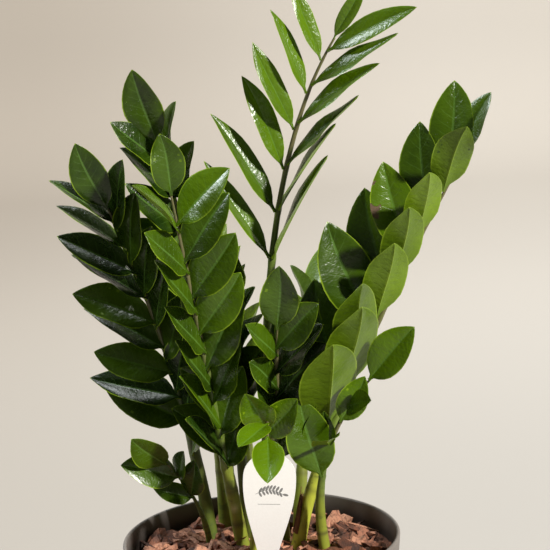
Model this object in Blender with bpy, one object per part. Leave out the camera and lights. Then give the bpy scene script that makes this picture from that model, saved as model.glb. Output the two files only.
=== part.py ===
"""Potted ZZ plant (Zamioculcas zamiifolia): a round pot of soil, rhizomes in the soil, a fleshy stalk
with two rows of leaflets growing from each rhizome bud, bark mulch over the soil and a card tag.

Metres, +Z up. The origin is the centre of the pot's base, and the plant's best side faces -Y.
"""

import math
import random
from dataclasses import dataclass

import bmesh
import bpy
from mathutils import Matrix, Vector
from mathutils.bvhtree import BVHTree

# ---- Driving dimensions -------------------------------------------------------------------------
CLEARANCE = 0.0003  # between neighbouring pieces

POT_RIM_DIAMETER = 0.250
POT_BASE_DIAMETER = 0.212
POT_HEIGHT = 0.220
POT_WALL = 0.0035
POT_FLOOR = 0.005
POT_FOOT_CHAMFER = 0.003
POT_SIDES = 64

BARK_DROP = 0.020  # from the rim down to the top of the bark
BARK_DEPTH = 0.016
BARK_WAVE = 0.0015  # height of the bark's unevenness
BARK_RINGS = 5
BARK_SIDES = 40
CHIP_COUNT = 9
CHIP_LENGTH = 0.026
CHIP_WIDTH = 0.013
CHIP_THICKNESS = 0.0045
CHIP_ROOM = 0.003  # kept between a loose chip and a stalk, the tag or the pot's wall
CHIP_GAP = 0.001  # kept between the circles that loose chips turn in

STALK_FOOT_RADIUS = 0.0066  # of a full-grown stalk just above the bark
STALK_TIP_RADIUS = 0.0013
STALK_SIDES = 8
LOWER_STALK = 0.25  # share of each stalk that its hole in the bark is shaped by
STALK_STEPS = 11
STALK_TAPER = 0.9  # power of the taper: below 1 keeps the lower stalk stout
FACE_RISE = 0.15  # how far a frond's upper side leans to the sky

LEAFLET_THICKNESS = 0.0014  # along the midrib, thinning to the blade's edges
LEAFLET_NECK_RADIUS = 0.0012  # of the short neck that joins a leaflet to its stalk
LEAFLET_FOLD = math.radians(13)  # rise of each half of the blade from flat
LEAFLET_BOW = 0.07  # how strongly the midrib arches, as a share of the length
LEAFLET_BOW_START = 0.3  # share of the length where the midrib is back at its root's level
LEAFLET_ROOM = 0.0009  # kept round each leaflet
LEAFLET_SINK = 0.3  # share of the stalk's radius where the neck of a joined leaflet starts

RHIZOME_RADIUS = 0.013
RHIZOME_DEPTH = 0.036
RHIZOME_SIDES = 16

TAG_HEIGHT = 0.110  # of the part that stands above the bark
TAG_WIDTH = 0.047
TAG_THICKNESS = 0.0009
TAG_WIDEST = 0.73  # height of the widest place, as a share of the tag's height
TAG_STAKE_WIDTH = 0.014
TAG_STAKE_DEPTH = 0.040
TAG_PLACE = (0.004, -0.030)
TAG_LEAN = math.radians(4)  # its top leans to +X

WILD_SPREAD = 6  # degrees that each leaflet may stray from its row's values
WILD_LIFT = 6
WILD_ROLL = 10
WILD_LENGTH = 0.08  # share of its length

# ---- Derived levels and radii -------------------------------------------------------------------
BARK_TOP = POT_HEIGHT - BARK_DROP
BARK_BASE = BARK_TOP - BARK_DEPTH
SOIL_TOP = BARK_BASE - CLEARANCE
BUD_TOP = SOIL_TOP  # the rhizomes' flat tops lie level with the soil
STALK_BASE = BUD_TOP + CLEARANCE


@dataclass(frozen=True)
class Row:
    """One row of leaflets along a stalk. Each pair of values runs from the lowest to the highest."""

    count: int
    reach: tuple  # shares of the stalk's length where the lowest and the highest leaflet spring
    spread: tuple  # degrees off the stalk's direction
    lift: tuple  # degrees that the leaflets rise towards the side the frond faces
    roll: tuple  # degrees that each blade's upper side turns towards the stalk's tip
    length: tuple


@dataclass(frozen=True)
class Frond:
    """One stalk with its leaflets. Places are in metres from the bark's middle, z above the bark."""

    name: str
    foot: tuple  # x and y where the stalk leaves the bark
    bend: tuple  # the control point that bows the stalk
    tip: tuple
    facing: float  # compass direction of the frond's upper side, degrees from +X towards +Y
    left: Row  # as seen from the side that the frond faces
    right: Row
    end_length: float  # of the last leaflet, which goes on where the stalk ends
    slim: float = 0.40  # a leaflet's width over its length
    stout: float = 1.0  # the stalk's thickness over a full-grown stalk's
    loose: bool = False  # whether each leaflet is a piece of its own


FRONDS = (
    Frond(
        "tall", (0.012, 0.068), (0.002, 0.040, 0.330), (0.087, 0.020, 0.462), 250,
        left=Row(6, (0.47, 0.93), (40, 40), (14, 14), (62, 40), (0.104, 0.068)),
        right=Row(6, (0.47, 0.96), (26, 38), (25, 10), (68, 16), (0.104, 0.080)),
        end_length=0.058, slim=0.22, loose=True,
    ),
    Frond(
        "right", (0.033, 0.024), (0.060, 0.005, 0.130), (0.191, -0.005, 0.352), 200,
        left=Row(8, (0.40, 0.97), (54, 34), (42, 42), (0, 0), (0.098, 0.074)),
        right=Row(7, (0.39, 0.94), (30, 24), (54, 48), (36, 32), (0.102, 0.066)),
        end_length=0.066, slim=0.44, loose=True,
    ),
    Frond(
        "front_left", (-0.017, 0.024), (-0.038, 0.000, 0.160), (-0.062, -0.015, 0.340), 290,
        left=Row(7, (0.26, 0.90), (28, 36), (32, 30), (28, 34), (0.072, 0.060)),
        right=Row(8, (0.25, 0.92), (24, 46), (34, 26), (26, 34), (0.072, 0.062)),
        end_length=0.056, slim=0.50,
    ),
    Frond(
        "left", (-0.047, 0.062), (-0.060, 0.050, 0.160), (-0.121, 0.035, 0.322), 260,
        left=Row(9, (0.36, 0.95), (56, 30), (14, 14), (40, 62), (0.074, 0.070)),
        right=Row(8, (0.26, 0.93), (30, 32), (30, 30), (24, 26), (0.074, 0.064)),
        end_length=0.062, slim=0.44,
    ),
    Frond(
        "back_left", (-0.033, 0.081), (-0.034, 0.080, 0.220), (-0.074, 0.055, 0.376), 262,
        left=Row(6, (0.46, 0.92), (38, 30), (28, 28), (32, 32), (0.074, 0.064)),
        right=Row(6, (0.46, 0.92), (40, 32), (28, 28), (32, 28), (0.074, 0.060)),
        end_length=0.070, slim=0.44,
    ),
    Frond(
        "low_right", (0.057, 0.004), (0.042, -0.010, 0.100), (0.104, -0.020, 0.166), 235,
        left=Row(3, (0.40, 0.72), (18, 34), (26, 14), (10, 14), (0.066, 0.046)),
        right=Row(2, (0.58, 0.80), (42, 44), (46, 46), (10, 10), (0.050, 0.042)),
        end_length=0.056, slim=0.50, stout=0.8,
    ),
    Frond(
        "centre_left", (-0.010, 0.050), (-0.018, 0.030, 0.140), (-0.018, 0.005, 0.235), 262,
        left=Row(5, (0.36, 0.84), (44, 44), (22, 14), (36, 36), (0.078, 0.060)),
        right=Row(4, (0.44, 0.88), (36, 34), (32, 32), (32, 32), (0.062, 0.054)),
        end_length=0.066, slim=0.46,
    ),
    Frond(
        "centre", (0.020, 0.042), (0.018, 0.015, 0.130), (0.024, -0.010, 0.215), 272,
        left=Row(3, (0.50, 0.84), (36, 40), (36, 36), (32, 32), (0.058, 0.048)),
        right=Row(5, (0.36, 0.88), (42, 36), (22, 22), (36, 36), (0.078, 0.062)),
        end_length=0.062, slim=0.50,
    ),
    Frond(
        "front_centre", (-0.008, 0.000), (0.014, -0.004, 0.170), (0.010, -0.050, 0.124), 270,
        left=Row(1, (0.60, 0.60), (30, 30), (10, 10), (0, 0), (0.050, 0.050)),
        right=Row(2, (0.52, 0.84), (30, 40), (10, 10), (0, 0), (0.050, 0.040)),
        end_length=0.044, slim=0.50, stout=0.7,
    ),
    Frond(
        "small_left", (-0.048, 0.040), (-0.052, 0.030, 0.050), (-0.083, 0.010, 0.090), 255,
        left=Row(2, (0.54, 0.80), (44, 34), (20, 20), (50, 24), (0.038, 0.054)),
        right=Row(2, (0.56, 0.78), (36, 42), (20, 20), (10, 20), (0.044, 0.036)),
        end_length=0.048, slim=0.48, stout=0.45,
    ),
    Frond(
        "rear_right", (0.036, 0.064), (0.046, 0.080, 0.130), (0.062, 0.118, 0.205), 75,
        left=Row(6, (0.35, 0.92), (44, 36), (24, 24), (32, 32), (0.074, 0.058)),
        right=Row(6, (0.35, 0.92), (44, 36), (24, 24), (32, 32), (0.074, 0.058)),
        end_length=0.060, slim=0.44,
    ),
    Frond(
        "rear_left", (-0.002, 0.084), (-0.012, 0.105, 0.150), (-0.040, 0.135, 0.245), 105,
        left=Row(6, (0.35, 0.92), (44, 36), (24, 24), (32, 32), (0.074, 0.058)),
        right=Row(6, (0.35, 0.92), (44, 36), (24, 24), (32, 32), (0.074, 0.058)),
        end_length=0.060, slim=0.44,
    ),
)
RHIZOMES = {
    "rhizome_left": ("small_left", "left", "back_left"),
    "rhizome_front": ("front_centre", "front_left", "centre_left"),
    "rhizome_right": ("low_right", "right", "centre"),
    "rhizome_rear": ("rear_left", "tall", "rear_right"),
}


# ---- Materials and mesh helpers -----------------------------------------------------------------
def material(name, colour, roughness, metallic=0.0):
    made = bpy.data.materials.new(name)
    made.use_nodes = True
    surface = made.node_tree.nodes["Principled BSDF"]
    surface.inputs["Base Color"].default_value = (*colour, 1.0)
    surface.inputs["Roughness"].default_value = roughness
    surface.inputs["Metallic"].default_value = metallic
    made.diffuse_color = (*colour, 1.0)
    return made


def new_object(name, shape, finish, smooth_angle=math.radians(40)):
    """Makes a named scene object from a bmesh, with its faces turned outward."""
    bmesh.ops.recalc_face_normals(shape, faces=shape.faces)
    mesh = bpy.data.meshes.new(name)
    shape.to_mesh(mesh)
    shape.free()
    mesh.materials.append(finish)
    mesh.shade_smooth()
    mesh.set_sharp_from_angle(angle=smooth_angle)
    made = bpy.data.objects.new(name, mesh)
    bpy.context.collection.objects.link(made)
    return made


def hide(helper):
    helper.hide_render = True
    helper.display_type = "WIRE"
    return helper


def add_rings(shape, rings, first=None, last=None):
    """Bridges rings of points in order, and closes each end with a point or, without one, a flat cap."""
    loops = [[shape.verts.new(point) for point in ring] for ring in rings]
    for lower, upper in zip(loops, loops[1:]):
        for i in range(len(lower)):
            j = (i + 1) % len(lower)
            shape.faces.new((lower[i], lower[j], upper[j], upper[i]))
    for loop, apex in ((loops[0], first), (loops[-1], last)):
        if apex is None:
            shape.faces.new(loop)
            continue
        top = shape.verts.new(apex)
        for i in range(len(loop)):
            shape.faces.new((loop[i], loop[(i + 1) % len(loop)], top))


def circle(radius, z, sides):
    turns = (2 * math.pi * i / sides for i in range(sides))
    return [Vector((radius * math.cos(a), radius * math.sin(a), z)) for a in turns]


def turned(name, profile, finish, sides=POT_SIDES):
    """A round solid whose (radius, height) profile starts and ends on the axis."""
    shape = bmesh.new()
    rings = [circle(radius, z, sides) for radius, z in profile[1:-1]]
    add_rings(shape, rings, first=(0, 0, profile[0][1]), last=(0, 0, profile[-1][1]))
    return new_object(name, shape, finish)


def boolean(target, tool, operation):
    step = target.modifiers.new(operation.title(), "BOOLEAN")
    step.operation = operation
    step.solver = "EXACT"
    step.object = tool


def apply_modifiers(target):
    graph = bpy.context.evaluated_depsgraph_get()
    result = bpy.data.meshes.new_from_object(target.evaluated_get(graph))
    target.modifiers.clear()
    target.data = result


def cut(target, shape):
    """Takes a closed bmesh away from the target."""
    tool = hide(new_object(f"cutter_{target.name}", shape, target.data.materials[0]))
    boolean(target, tool, "DIFFERENCE")
    apply_modifiers(target)
    bpy.data.objects.remove(tool)


# ---- Pot, soil and bark -------------------------------------------------------------------------
def outer_radius(z):
    """The pot's outer radius at a height."""
    return (POT_BASE_DIAMETER + (POT_RIM_DIAMETER - POT_BASE_DIAMETER) * z / POT_HEIGHT) / 2


def inner_radius(z):
    return outer_radius(z) - POT_WALL


def fill_radius(z):
    """The radius of what fills the pot at a height."""
    return inner_radius(z) * math.cos(math.pi / POT_SIDES) - CLEARANCE


def make_pot(finish):
    profile = (
        (0, 0),
        (outer_radius(0) - POT_FOOT_CHAMFER, 0),
        (outer_radius(POT_FOOT_CHAMFER), POT_FOOT_CHAMFER),
        (outer_radius(POT_HEIGHT), POT_HEIGHT),
        (inner_radius(POT_HEIGHT), POT_HEIGHT),
        (inner_radius(POT_FLOOR), POT_FLOOR),
        (0, POT_FLOOR),
    )
    return turned("pot", profile, finish)


def make_soil(finish):
    base = POT_FLOOR + CLEARANCE
    profile = ((0, base), (fill_radius(base), base), (fill_radius(SOIL_TOP), SOIL_TOP), (0, SOIL_TOP))
    return turned("potting_soil", profile, finish)


def bark_height(x, y):
    """The bark's slightly uneven top."""
    wave = math.sin(61 * x + 1.3) * math.cos(53 * y) + 0.6 * math.sin(97 * y + 41 * x)
    return BARK_TOP + BARK_WAVE * wave


def make_bark(finish):
    shape = bmesh.new()
    base = circle(fill_radius(BARK_BASE), BARK_BASE, BARK_SIDES)
    rings = [base]
    for step in range(BARK_RINGS, 0, -1):
        ring = circle(fill_radius(BARK_TOP) * step / BARK_RINGS, BARK_TOP, BARK_SIDES)
        rings.append([Vector((p.x, p.y, bark_height(p.x, p.y))) for p in ring])
    add_rings(shape, rings, first=(0, 0, BARK_BASE), last=(0, 0, bark_height(0, 0)))
    bmesh.ops.triangulate(shape, faces=shape.faces)
    return new_object("bark_mulch", shape, finish)


# ---- Rhizomes -----------------------------------------------------------------------------------
def rhizome_shape(name, extra):
    """A tuber under its stalks, cut flat at the top where their buds are, and grown by an extra amount."""
    feet = [stalk_seat(frond) for frond in FRONDS if frond.name in RHIZOMES[name]]
    first, last = max(
        ((a, b) for a in feet for b in feet), key=lambda pair: (pair[1] - pair[0]).length
    )
    centre = (first + last) / 2
    along = (last - first).normalized()
    half = (last - first).length / 2 + RHIZOME_RADIUS
    across = Vector((-along.y, along.x))
    shape = bmesh.new()
    rings = []
    for turn in (0, 20, 45, 68):
        wide = math.cos(math.radians(turn))
        depth = math.sin(math.radians(turn)) * (RHIZOME_DEPTH + extra)
        ring = []
        for i in range(RHIZOME_SIDES):
            a = 2 * math.pi * i / RHIZOME_SIDES
            flat = centre + wide * (
                along * math.cos(a) * (half + extra) + across * math.sin(a) * (RHIZOME_RADIUS + extra)
            )
            ring.append(Vector((flat.x, flat.y, BUD_TOP - depth)))
        rings.append(ring)
    if extra:
        rings.insert(0, [point + Vector((0, 0, CLEARANCE)) for point in rings[0]])
    add_rings(shape, rings, last=(centre.x, centre.y, BUD_TOP - RHIZOME_DEPTH - extra))
    return shape


def make_rhizome(name, finish):
    """A rhizome, hollowed where it would press into one that is already in place."""
    made = new_object(name, rhizome_shape(name, 0.0), finish)
    for other in RHIZOMES:
        if other == name:
            break
        if tree_of(rhizome_shape(other, CLEARANCE)).overlap(surface_tree(made)):
            cut(made, rhizome_shape(other, CLEARANCE))


# ---- Stalks -------------------------------------------------------------------------------------
def bezier(frond, share):
    foot = Vector((*frond.foot, BARK_TOP))
    bend = Vector(frond.bend) + Vector((0, 0, BARK_TOP))
    tip = Vector(frond.tip) + Vector((0, 0, BARK_TOP))
    return foot * (1 - share) ** 2 + bend * 2 * share * (1 - share) + tip * share**2


def tangent(frond, share):
    foot = Vector((*frond.foot, 0))
    bend = Vector(frond.bend)
    tip = Vector(frond.tip)
    return ((bend - foot) * (1 - share) + (tip - bend) * share).normalized()


def stalk_seat(frond):
    """Where the stalk's middle line meets its rhizome, as x and y."""
    down = tangent(frond, 0)
    seat = bezier(frond, 0) + down * ((STALK_BASE - BARK_TOP) / down.z)
    return Vector((seat.x, seat.y))


def stalk_radius(frond, share):
    spare = STALK_FOOT_RADIUS * frond.stout - STALK_TIP_RADIUS
    return STALK_TIP_RADIUS + spare * (1 - share) ** STALK_TAPER


def frame_at(frond, share):
    """The stalk's direction, the direction its upper side faces, and its right-hand direction."""
    along = tangent(frond, share)
    turn = math.radians(frond.facing)
    face = Vector((math.cos(turn), math.sin(turn), FACE_RISE))
    face = (face - along * face.dot(along)).normalized()
    return along, face, along.cross(face)


def stalk_shape(frond, extra=0.0, top=1.0):
    """The stalk as a tapering tube from its rhizome up to a share of its length."""
    rings = []
    for step in range(-1, STALK_STEPS + 1):
        share = max(step, 0) / STALK_STEPS * top
        along, face, side = frame_at(frond, share)
        centre = bezier(frond, share)
        radius = stalk_radius(frond, share) + extra
        ring = []
        for i in range(STALK_SIDES):
            a = 2 * math.pi * i / STALK_SIDES
            ring.append(centre + radius * (face * math.cos(a) + side * math.sin(a)))
        if step < 0:
            low = STALK_BASE - extra
            ring = [point + along * ((low - point.z) / along.z) for point in ring]
        rings.append(ring)
    shape = bmesh.new()
    add_rings(shape, rings)
    return shape


# ---- Leaflets -----------------------------------------------------------------------------------
# Each station: share of the length, share of the full half width
OUTLINE = ((0.10, 0.42), (0.34, 1.0), (0.62, 0.86), (0.86, 0.38))


@dataclass
class Leaflet:
    """The pose of one leaflet: where its neck meets the stalk, and how its blade lies."""

    root: Vector
    outward: Vector  # straight out of the stalk
    stalk_along: Vector
    direction: Vector  # of the midrib
    upper: Vector  # side that the blade's upper surface faces
    length: float
    width: float


def pose(frond, share, side, spread, lift, roll, length):
    """side is -1 in the left row, 1 in the right row and 0 at the end of the stalk."""
    along, face, right = frame_at(frond, share)
    spread, lift, roll = (math.radians(value) for value in (spread, lift, roll))
    if side:
        outward = math.cos(lift) * side * right + math.sin(lift) * face
        upper = math.cos(lift) * face - math.sin(lift) * side * right
        direction = math.cos(spread) * along + math.sin(spread) * outward
    else:
        outward = along
        direction = (math.cos(spread) * along + math.sin(spread) * face).normalized()
        upper = (face - direction * face.dot(direction)).normalized()
    upper = Matrix.Rotation(-roll * side, 3, direction) @ upper
    if frond.loose:
        stand_off = stalk_radius(frond, share) + CLEARANCE if side else CLEARANCE
    else:
        stand_off = stalk_radius(frond, share) * LEAFLET_SINK if side else -STALK_TIP_RADIUS
    root = bezier(frond, share) + outward * stand_off
    return Leaflet(root, outward, along, direction, upper, length, length * frond.slim)


def midrib_point(leaflet, share):
    """A point on the arched midrib, at a share of its length."""
    fall = LEAFLET_BOW * leaflet.length * (share * share - LEAFLET_BOW_START * share)
    return leaflet.root + leaflet.direction * leaflet.length * share - leaflet.upper * fall


def leaflet_rings(leaflet, room=0.0):
    """The neck and the blade as four-point rings, then the tip."""
    side = leaflet.upper.cross(leaflet.direction)
    neck_up = leaflet.outward.cross(leaflet.stalk_along)
    if neck_up.length < 0.1:
        neck_up = leaflet.upper
    neck_up = neck_up.normalized()
    neck_side = neck_up.cross(leaflet.outward)
    if neck_up.dot(leaflet.upper) < 0:
        neck_up = -neck_up
    if neck_side.dot(side) < 0:
        neck_side = -neck_side
    thick = LEAFLET_THICKNESS / 2 + room
    neck = LEAFLET_NECK_RADIUS
    start = leaflet.root + leaflet.outward * room * 2
    across, over = neck_side * neck, neck_up * neck
    rings = [[start - across, start + over, start + across, start - over]]
    for share, broad in OUTLINE:
        middle = midrib_point(leaflet, share)
        half = leaflet.width / 2 * broad + room
        rise = leaflet.upper * half * math.tan(LEAFLET_FOLD)
        rings.append([
            middle - side * half + rise,
            middle + leaflet.upper * thick,
            middle + side * half + rise,
            middle - leaflet.upper * thick,
        ])
    return rings, midrib_point(leaflet, 1.0) + leaflet.direction * room


def leaflet_shape(leaflet, room=0.0):
    shape = bmesh.new()
    rings, tip = leaflet_rings(leaflet, room)
    add_rings(shape, rings, last=tip)
    bmesh.ops.triangulate(shape, faces=shape.faces)
    return shape


def tree_of(shape):
    tree = BVHTree.FromBMesh(shape)
    shape.free()
    return tree


def surface_tree(target):
    """A search tree of an object's mesh as it stands."""
    shape = bmesh.new()
    shape.from_mesh(target.data)
    return tree_of(shape)


def row_leaflets(frond, row, side):
    """The wished-for values of each leaflet in a row, lowest first."""
    for i in range(row.count):
        up = i / max(row.count - 1, 1)
        ranges = (row.reach, row.spread, row.lift, row.roll, row.length)
        share, spread, lift, roll, length = (low + (high - low) * up for low, high in ranges)
        yield share, side, spread, lift, roll, length


# Turns tried, in order, until a leaflet lies clear of its neighbours: spread, lift and roll
TURNS = (
    (0, 1, 0), (0, -1, 0), (1, 0, 0), (-1, 0, 0), (0, 0, 2), (0, 0, -2),
    (1, 1, 1), (-1, 1, -1), (1, -1, 1), (-1, -1, -1),
)
TRIALS = [(0, 0, 0)] + [
    tuple(part * degrees for part in turn) for degrees in (5, 10, 16, 23, 31) for turn in TURNS
]
SHRINKS = (1.0, 0.85, 0.7, 0.55, 0.42)  # a leaflet with no room at its full length grows shorter


def is_clear(frond, leaflet, own_stalk, others):
    """Whether a leaflet keeps its room from everything in place, and only its neck meets its own stalk."""
    roomy = tree_of(leaflet_shape(leaflet, LEAFLET_ROOM))
    if any(roomy.overlap(other) for other in others):
        return False
    return not frond.loose or not tree_of(leaflet_shape(leaflet)).overlap(own_stalk)


def find_room(frond, wish, own_stalk, others):
    """The pose nearest to the wished one that lies clear, or the wished one where there is none."""
    share, side, spread, lift, roll, length = wish
    for shrink in SHRINKS:
        for d_spread, d_lift, d_roll in TRIALS:
            turns = (spread + d_spread, lift + d_lift, roll + d_roll)
            trial = pose(frond, share, side, *turns, length * shrink)
            if is_clear(frond, trial, own_stalk, others):
                return trial
    return pose(frond, share, side, spread, lift, roll, length)


def grow(frond, others, taken, chance):
    """Poses every leaflet of a frond so that it passes through nothing that is already in place."""
    own_stalk = tree_of(stalk_shape(frond))
    wishes = list(row_leaflets(frond, frond.left, -1)) + list(row_leaflets(frond, frond.right, 1))
    wishes.append((1.0, 0, 8, 0, 0, frond.end_length))
    grown = []
    for share, side, spread, lift, roll, length in wishes:
        spread += chance.uniform(-WILD_SPREAD, WILD_SPREAD)
        lift += chance.uniform(-WILD_LIFT, WILD_LIFT)
        roll += chance.uniform(-WILD_ROLL, WILD_ROLL)
        length *= chance.uniform(1 - WILD_LENGTH, 1 + WILD_LENGTH)
        wish = (share, side, spread, lift, roll, length)
        found = find_room(frond, wish, own_stalk, others + taken)
        taken.append(tree_of(leaflet_shape(found)))
        grown.append(found)
    return grown


# ---- Tag and loose chips ------------------------------------------------------------------------
def tag_half_width(height):
    """Half the tag's width at a share of its height: a stake that swells to a pointed head."""
    if height < TAG_WIDEST:
        swell = math.sin(math.pi / 2 * max(height, 0) / TAG_WIDEST) ** 1.5
        return (TAG_STAKE_WIDTH + (TAG_WIDTH - TAG_STAKE_WIDTH) * swell) / 2
    return TAG_WIDTH / 2 * (1 - ((height - TAG_WIDEST) / (1 - TAG_WIDEST)) ** 3)


def tag_shape(extra=0.0):
    """The card as one closed solid, standing in the bark and leaning a little sideways."""
    heights = [0.0, 0.15, 0.3, 0.45, 0.6, TAG_WIDEST, 0.8, 0.87, 0.93, 0.97]
    right = [(tag_half_width(h) + extra, h * TAG_HEIGHT) for h in heights]
    outline = [(TAG_STAKE_WIDTH / 2 + extra, -TAG_STAKE_DEPTH - extra)] + right + [(0, TAG_HEIGHT + extra)]
    outline += [(-x, z) for x, z in reversed(outline[:-1])]
    lean = Matrix.Rotation(TAG_LEAN, 3, "Y")
    foot = Vector((*TAG_PLACE, BARK_TOP))
    half = TAG_THICKNESS / 2 + extra
    shape = bmesh.new()
    add_rings(shape, [[foot + lean @ Vector((x, y, z)) for x, z in outline] for y in (-half, half)])
    return shape


CHIP_OUTLINE = ((-1, -0.5), (-0.3, -1), (0.5, -0.8), (1, -0.2), (0.7, 0.7), (-0.1, 1), (-0.8, 0.6))
CHIP_TOP = 0.86  # width of a chip's top, as a share of its bottom's


def level_under(ground, place, flat):
    """The height of the highest bark under a chip's outline."""
    middles = [(a + b) / 2 for a, b in zip(flat, flat[1:] + flat[:1])]
    spots = [place + (point - place) * step / 6 for point in flat + middles for step in range(7)]
    above = POT_HEIGHT + CHIP_LENGTH
    return max(ground.ray_cast(Vector((*spot, above)), Vector((0, 0, -1)))[0].z for spot in spots)


def chip_shape(chance, ground, place, turn):
    """A flat sliver of bark with ragged ends, lying on the highest bark under it."""
    outline = []
    for x, y in CHIP_OUTLINE:
        x *= CHIP_LENGTH / 2 * chance.uniform(0.8, 1.0)
        y *= CHIP_WIDTH / 2 * chance.uniform(0.75, 1.0)
        outline.append(Vector((x, y)))
    about = Matrix.Rotation(turn, 2)
    flat = [about @ point + place for point in outline]
    rest = level_under(ground, place, flat) + CLEARANCE
    bottom = [Vector((point.x, point.y, rest)) for point in flat]
    top = []
    for point in flat:
        rise = CHIP_THICKNESS * chance.uniform(0.7, 1.0)
        top.append(Vector((*(place + (point - place) * CHIP_TOP), rest + rise)))
    shape = bmesh.new()
    add_rings(shape, [bottom, top])
    bmesh.ops.triangulate(shape, faces=shape.faces)
    return shape


def chip_places(chance):
    """Spots on the bark that clear the stalks, the tag, the pot's wall and one another."""
    room = CHIP_LENGTH / 2 + STALK_FOOT_RADIUS + CHIP_ROOM
    kept_off = [(Vector(frond.foot), room) for frond in FRONDS]
    kept_off.append((Vector(TAG_PLACE), room))
    places = []
    while len(places) < CHIP_COUNT:
        angle = chance.uniform(0, 2 * math.pi)
        reach = fill_radius(BARK_TOP) - CHIP_LENGTH / 2 - CHIP_ROOM
        distance = reach * math.sqrt(chance.random())
        place = Vector((math.cos(angle), math.sin(angle))) * distance
        if all((place - other).length > gap for other, gap in kept_off):
            places.append(place)
            kept_off.append((place, CHIP_LENGTH + CHIP_GAP))
    return places


# ---- Build --------------------------------------------------------------------------------------
def clear_scene():
    for old in list(bpy.data.objects):
        bpy.data.objects.remove(old)


def build():
    clear_scene()
    pot_finish = material("taupe_pot", (0.33, 0.29, 0.26), 0.55)
    soil_finish = material("potting_soil", (0.045, 0.028, 0.018), 0.95)
    bark_finish = material("bark", (0.24, 0.11, 0.06), 0.9)
    rhizome_finish = material("rhizome", (0.55, 0.42, 0.24), 0.7)
    stalk_finish = material("stalk_green", (0.22, 0.36, 0.08), 0.4)
    leaf_finish = material("leaf_green", (0.09, 0.28, 0.05), 0.28)
    tag_finish = material("tag_card", (0.86, 0.87, 0.86), 0.6)

    make_pot(pot_finish)
    soil = make_soil(soil_finish)
    bark = make_bark(bark_finish)
    for name in RHIZOMES:
        make_rhizome(name, rhizome_finish)
        cut(soil, rhizome_shape(name, CLEARANCE))
    for frond in FRONDS:
        cut(bark, stalk_shape(frond, CLEARANCE, LOWER_STALK))

    cut(soil, tag_shape(CLEARANCE))
    cut(bark, tag_shape(CLEARANCE))
    new_object("tag", tag_shape(), tag_finish)
    chance = random.Random(3)
    ground = surface_tree(bark)
    for number, place in enumerate(chip_places(chance), 1):
        chip = chip_shape(chance, ground, place, chance.uniform(0, math.pi))
        new_object(f"bark_chip_{number:02d}", chip, bark_finish)

    chance = random.Random(7)
    stalks = {frond.name: tree_of(stalk_shape(frond, LEAFLET_ROOM)) for frond in FRONDS}
    taken = [tree_of(tag_shape(LEAFLET_ROOM))]
    for frond in FRONDS:
        others = [tree for name, tree in stalks.items() if name != frond.name]
        leaflets = grow(frond, others, taken, chance)
        stalk = new_object(f"frond_{frond.name}", stalk_shape(frond), stalk_finish)
        stalk.data.materials.append(leaf_finish)
        for number, leaflet in enumerate(leaflets, 1):
            name = f"leaflet_{frond.name}_{number:02d}"
            blade = new_object(name, leaflet_shape(leaflet), leaf_finish, math.radians(50))
            if frond.loose:
                continue
            boolean(stalk, blade, "UNION")
            apply_modifiers(stalk)
            bpy.data.objects.remove(blade)


build()
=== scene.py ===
"""Looks of a potted ZZ plant: glossy leaflets on fleshy stalks, bark mulch, a satin pot and a card tag.

Metres, +Z up. The CAD frame gives every place; the fronds' plan below repeats the one that shaped it.
"""

from __future__ import annotations

import logging
import math
import random
from collections.abc import Iterator, Sequence
from dataclasses import dataclass, field
from enum import Enum

import bmesh
import bpy
from mathutils import Euler, Matrix, Vector
from mathutils.bvhtree import BVHTree

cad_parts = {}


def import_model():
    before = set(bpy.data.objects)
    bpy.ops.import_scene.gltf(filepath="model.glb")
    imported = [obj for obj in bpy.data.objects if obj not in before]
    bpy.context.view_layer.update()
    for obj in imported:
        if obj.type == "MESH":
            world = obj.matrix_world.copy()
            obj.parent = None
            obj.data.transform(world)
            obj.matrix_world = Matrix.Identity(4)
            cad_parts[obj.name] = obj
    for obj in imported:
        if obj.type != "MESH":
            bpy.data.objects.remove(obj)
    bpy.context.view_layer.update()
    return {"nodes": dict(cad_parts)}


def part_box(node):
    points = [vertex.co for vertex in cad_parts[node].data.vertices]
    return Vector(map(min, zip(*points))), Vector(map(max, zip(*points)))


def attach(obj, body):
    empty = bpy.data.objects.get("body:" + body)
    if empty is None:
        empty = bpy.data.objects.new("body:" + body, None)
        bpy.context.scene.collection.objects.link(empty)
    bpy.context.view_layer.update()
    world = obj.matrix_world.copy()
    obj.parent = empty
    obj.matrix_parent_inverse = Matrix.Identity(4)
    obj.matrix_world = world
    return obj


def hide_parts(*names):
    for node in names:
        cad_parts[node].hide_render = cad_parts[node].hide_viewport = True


LOG = logging.getLogger("zz_plant")
ROOT_BODY = "root"

Pair = tuple[float, float]
Triple = tuple[float, float, float]
Shape = bmesh.types.BMesh
Piece = bpy.types.Object
Material = bpy.types.Material
Socket = bpy.types.NodeSocket


# ---- The plant's plan ---------------------------------------------------------------------------
class Side(Enum):
    """Where a leaflet springs from, seen from the side that its frond faces."""

    LEFT = -1
    END = 0
    RIGHT = 1


@dataclass(frozen=True)
class Row:
    """One row of leaflets. Each pair of values runs from the lowest leaflet to the highest.

    Attributes:
        count: number of leaflets.
        reach: shares of the stalk's length where they spring.
        spread: degrees off the stalk's direction.
        lift: degrees that they rise towards the side the frond faces.
        roll: degrees that each upper side turns towards the stalk's tip.
        length: leaflet lengths.
    """

    count: int
    reach: Pair
    spread: Pair
    lift: Pair
    roll: Pair
    length: Pair


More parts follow.
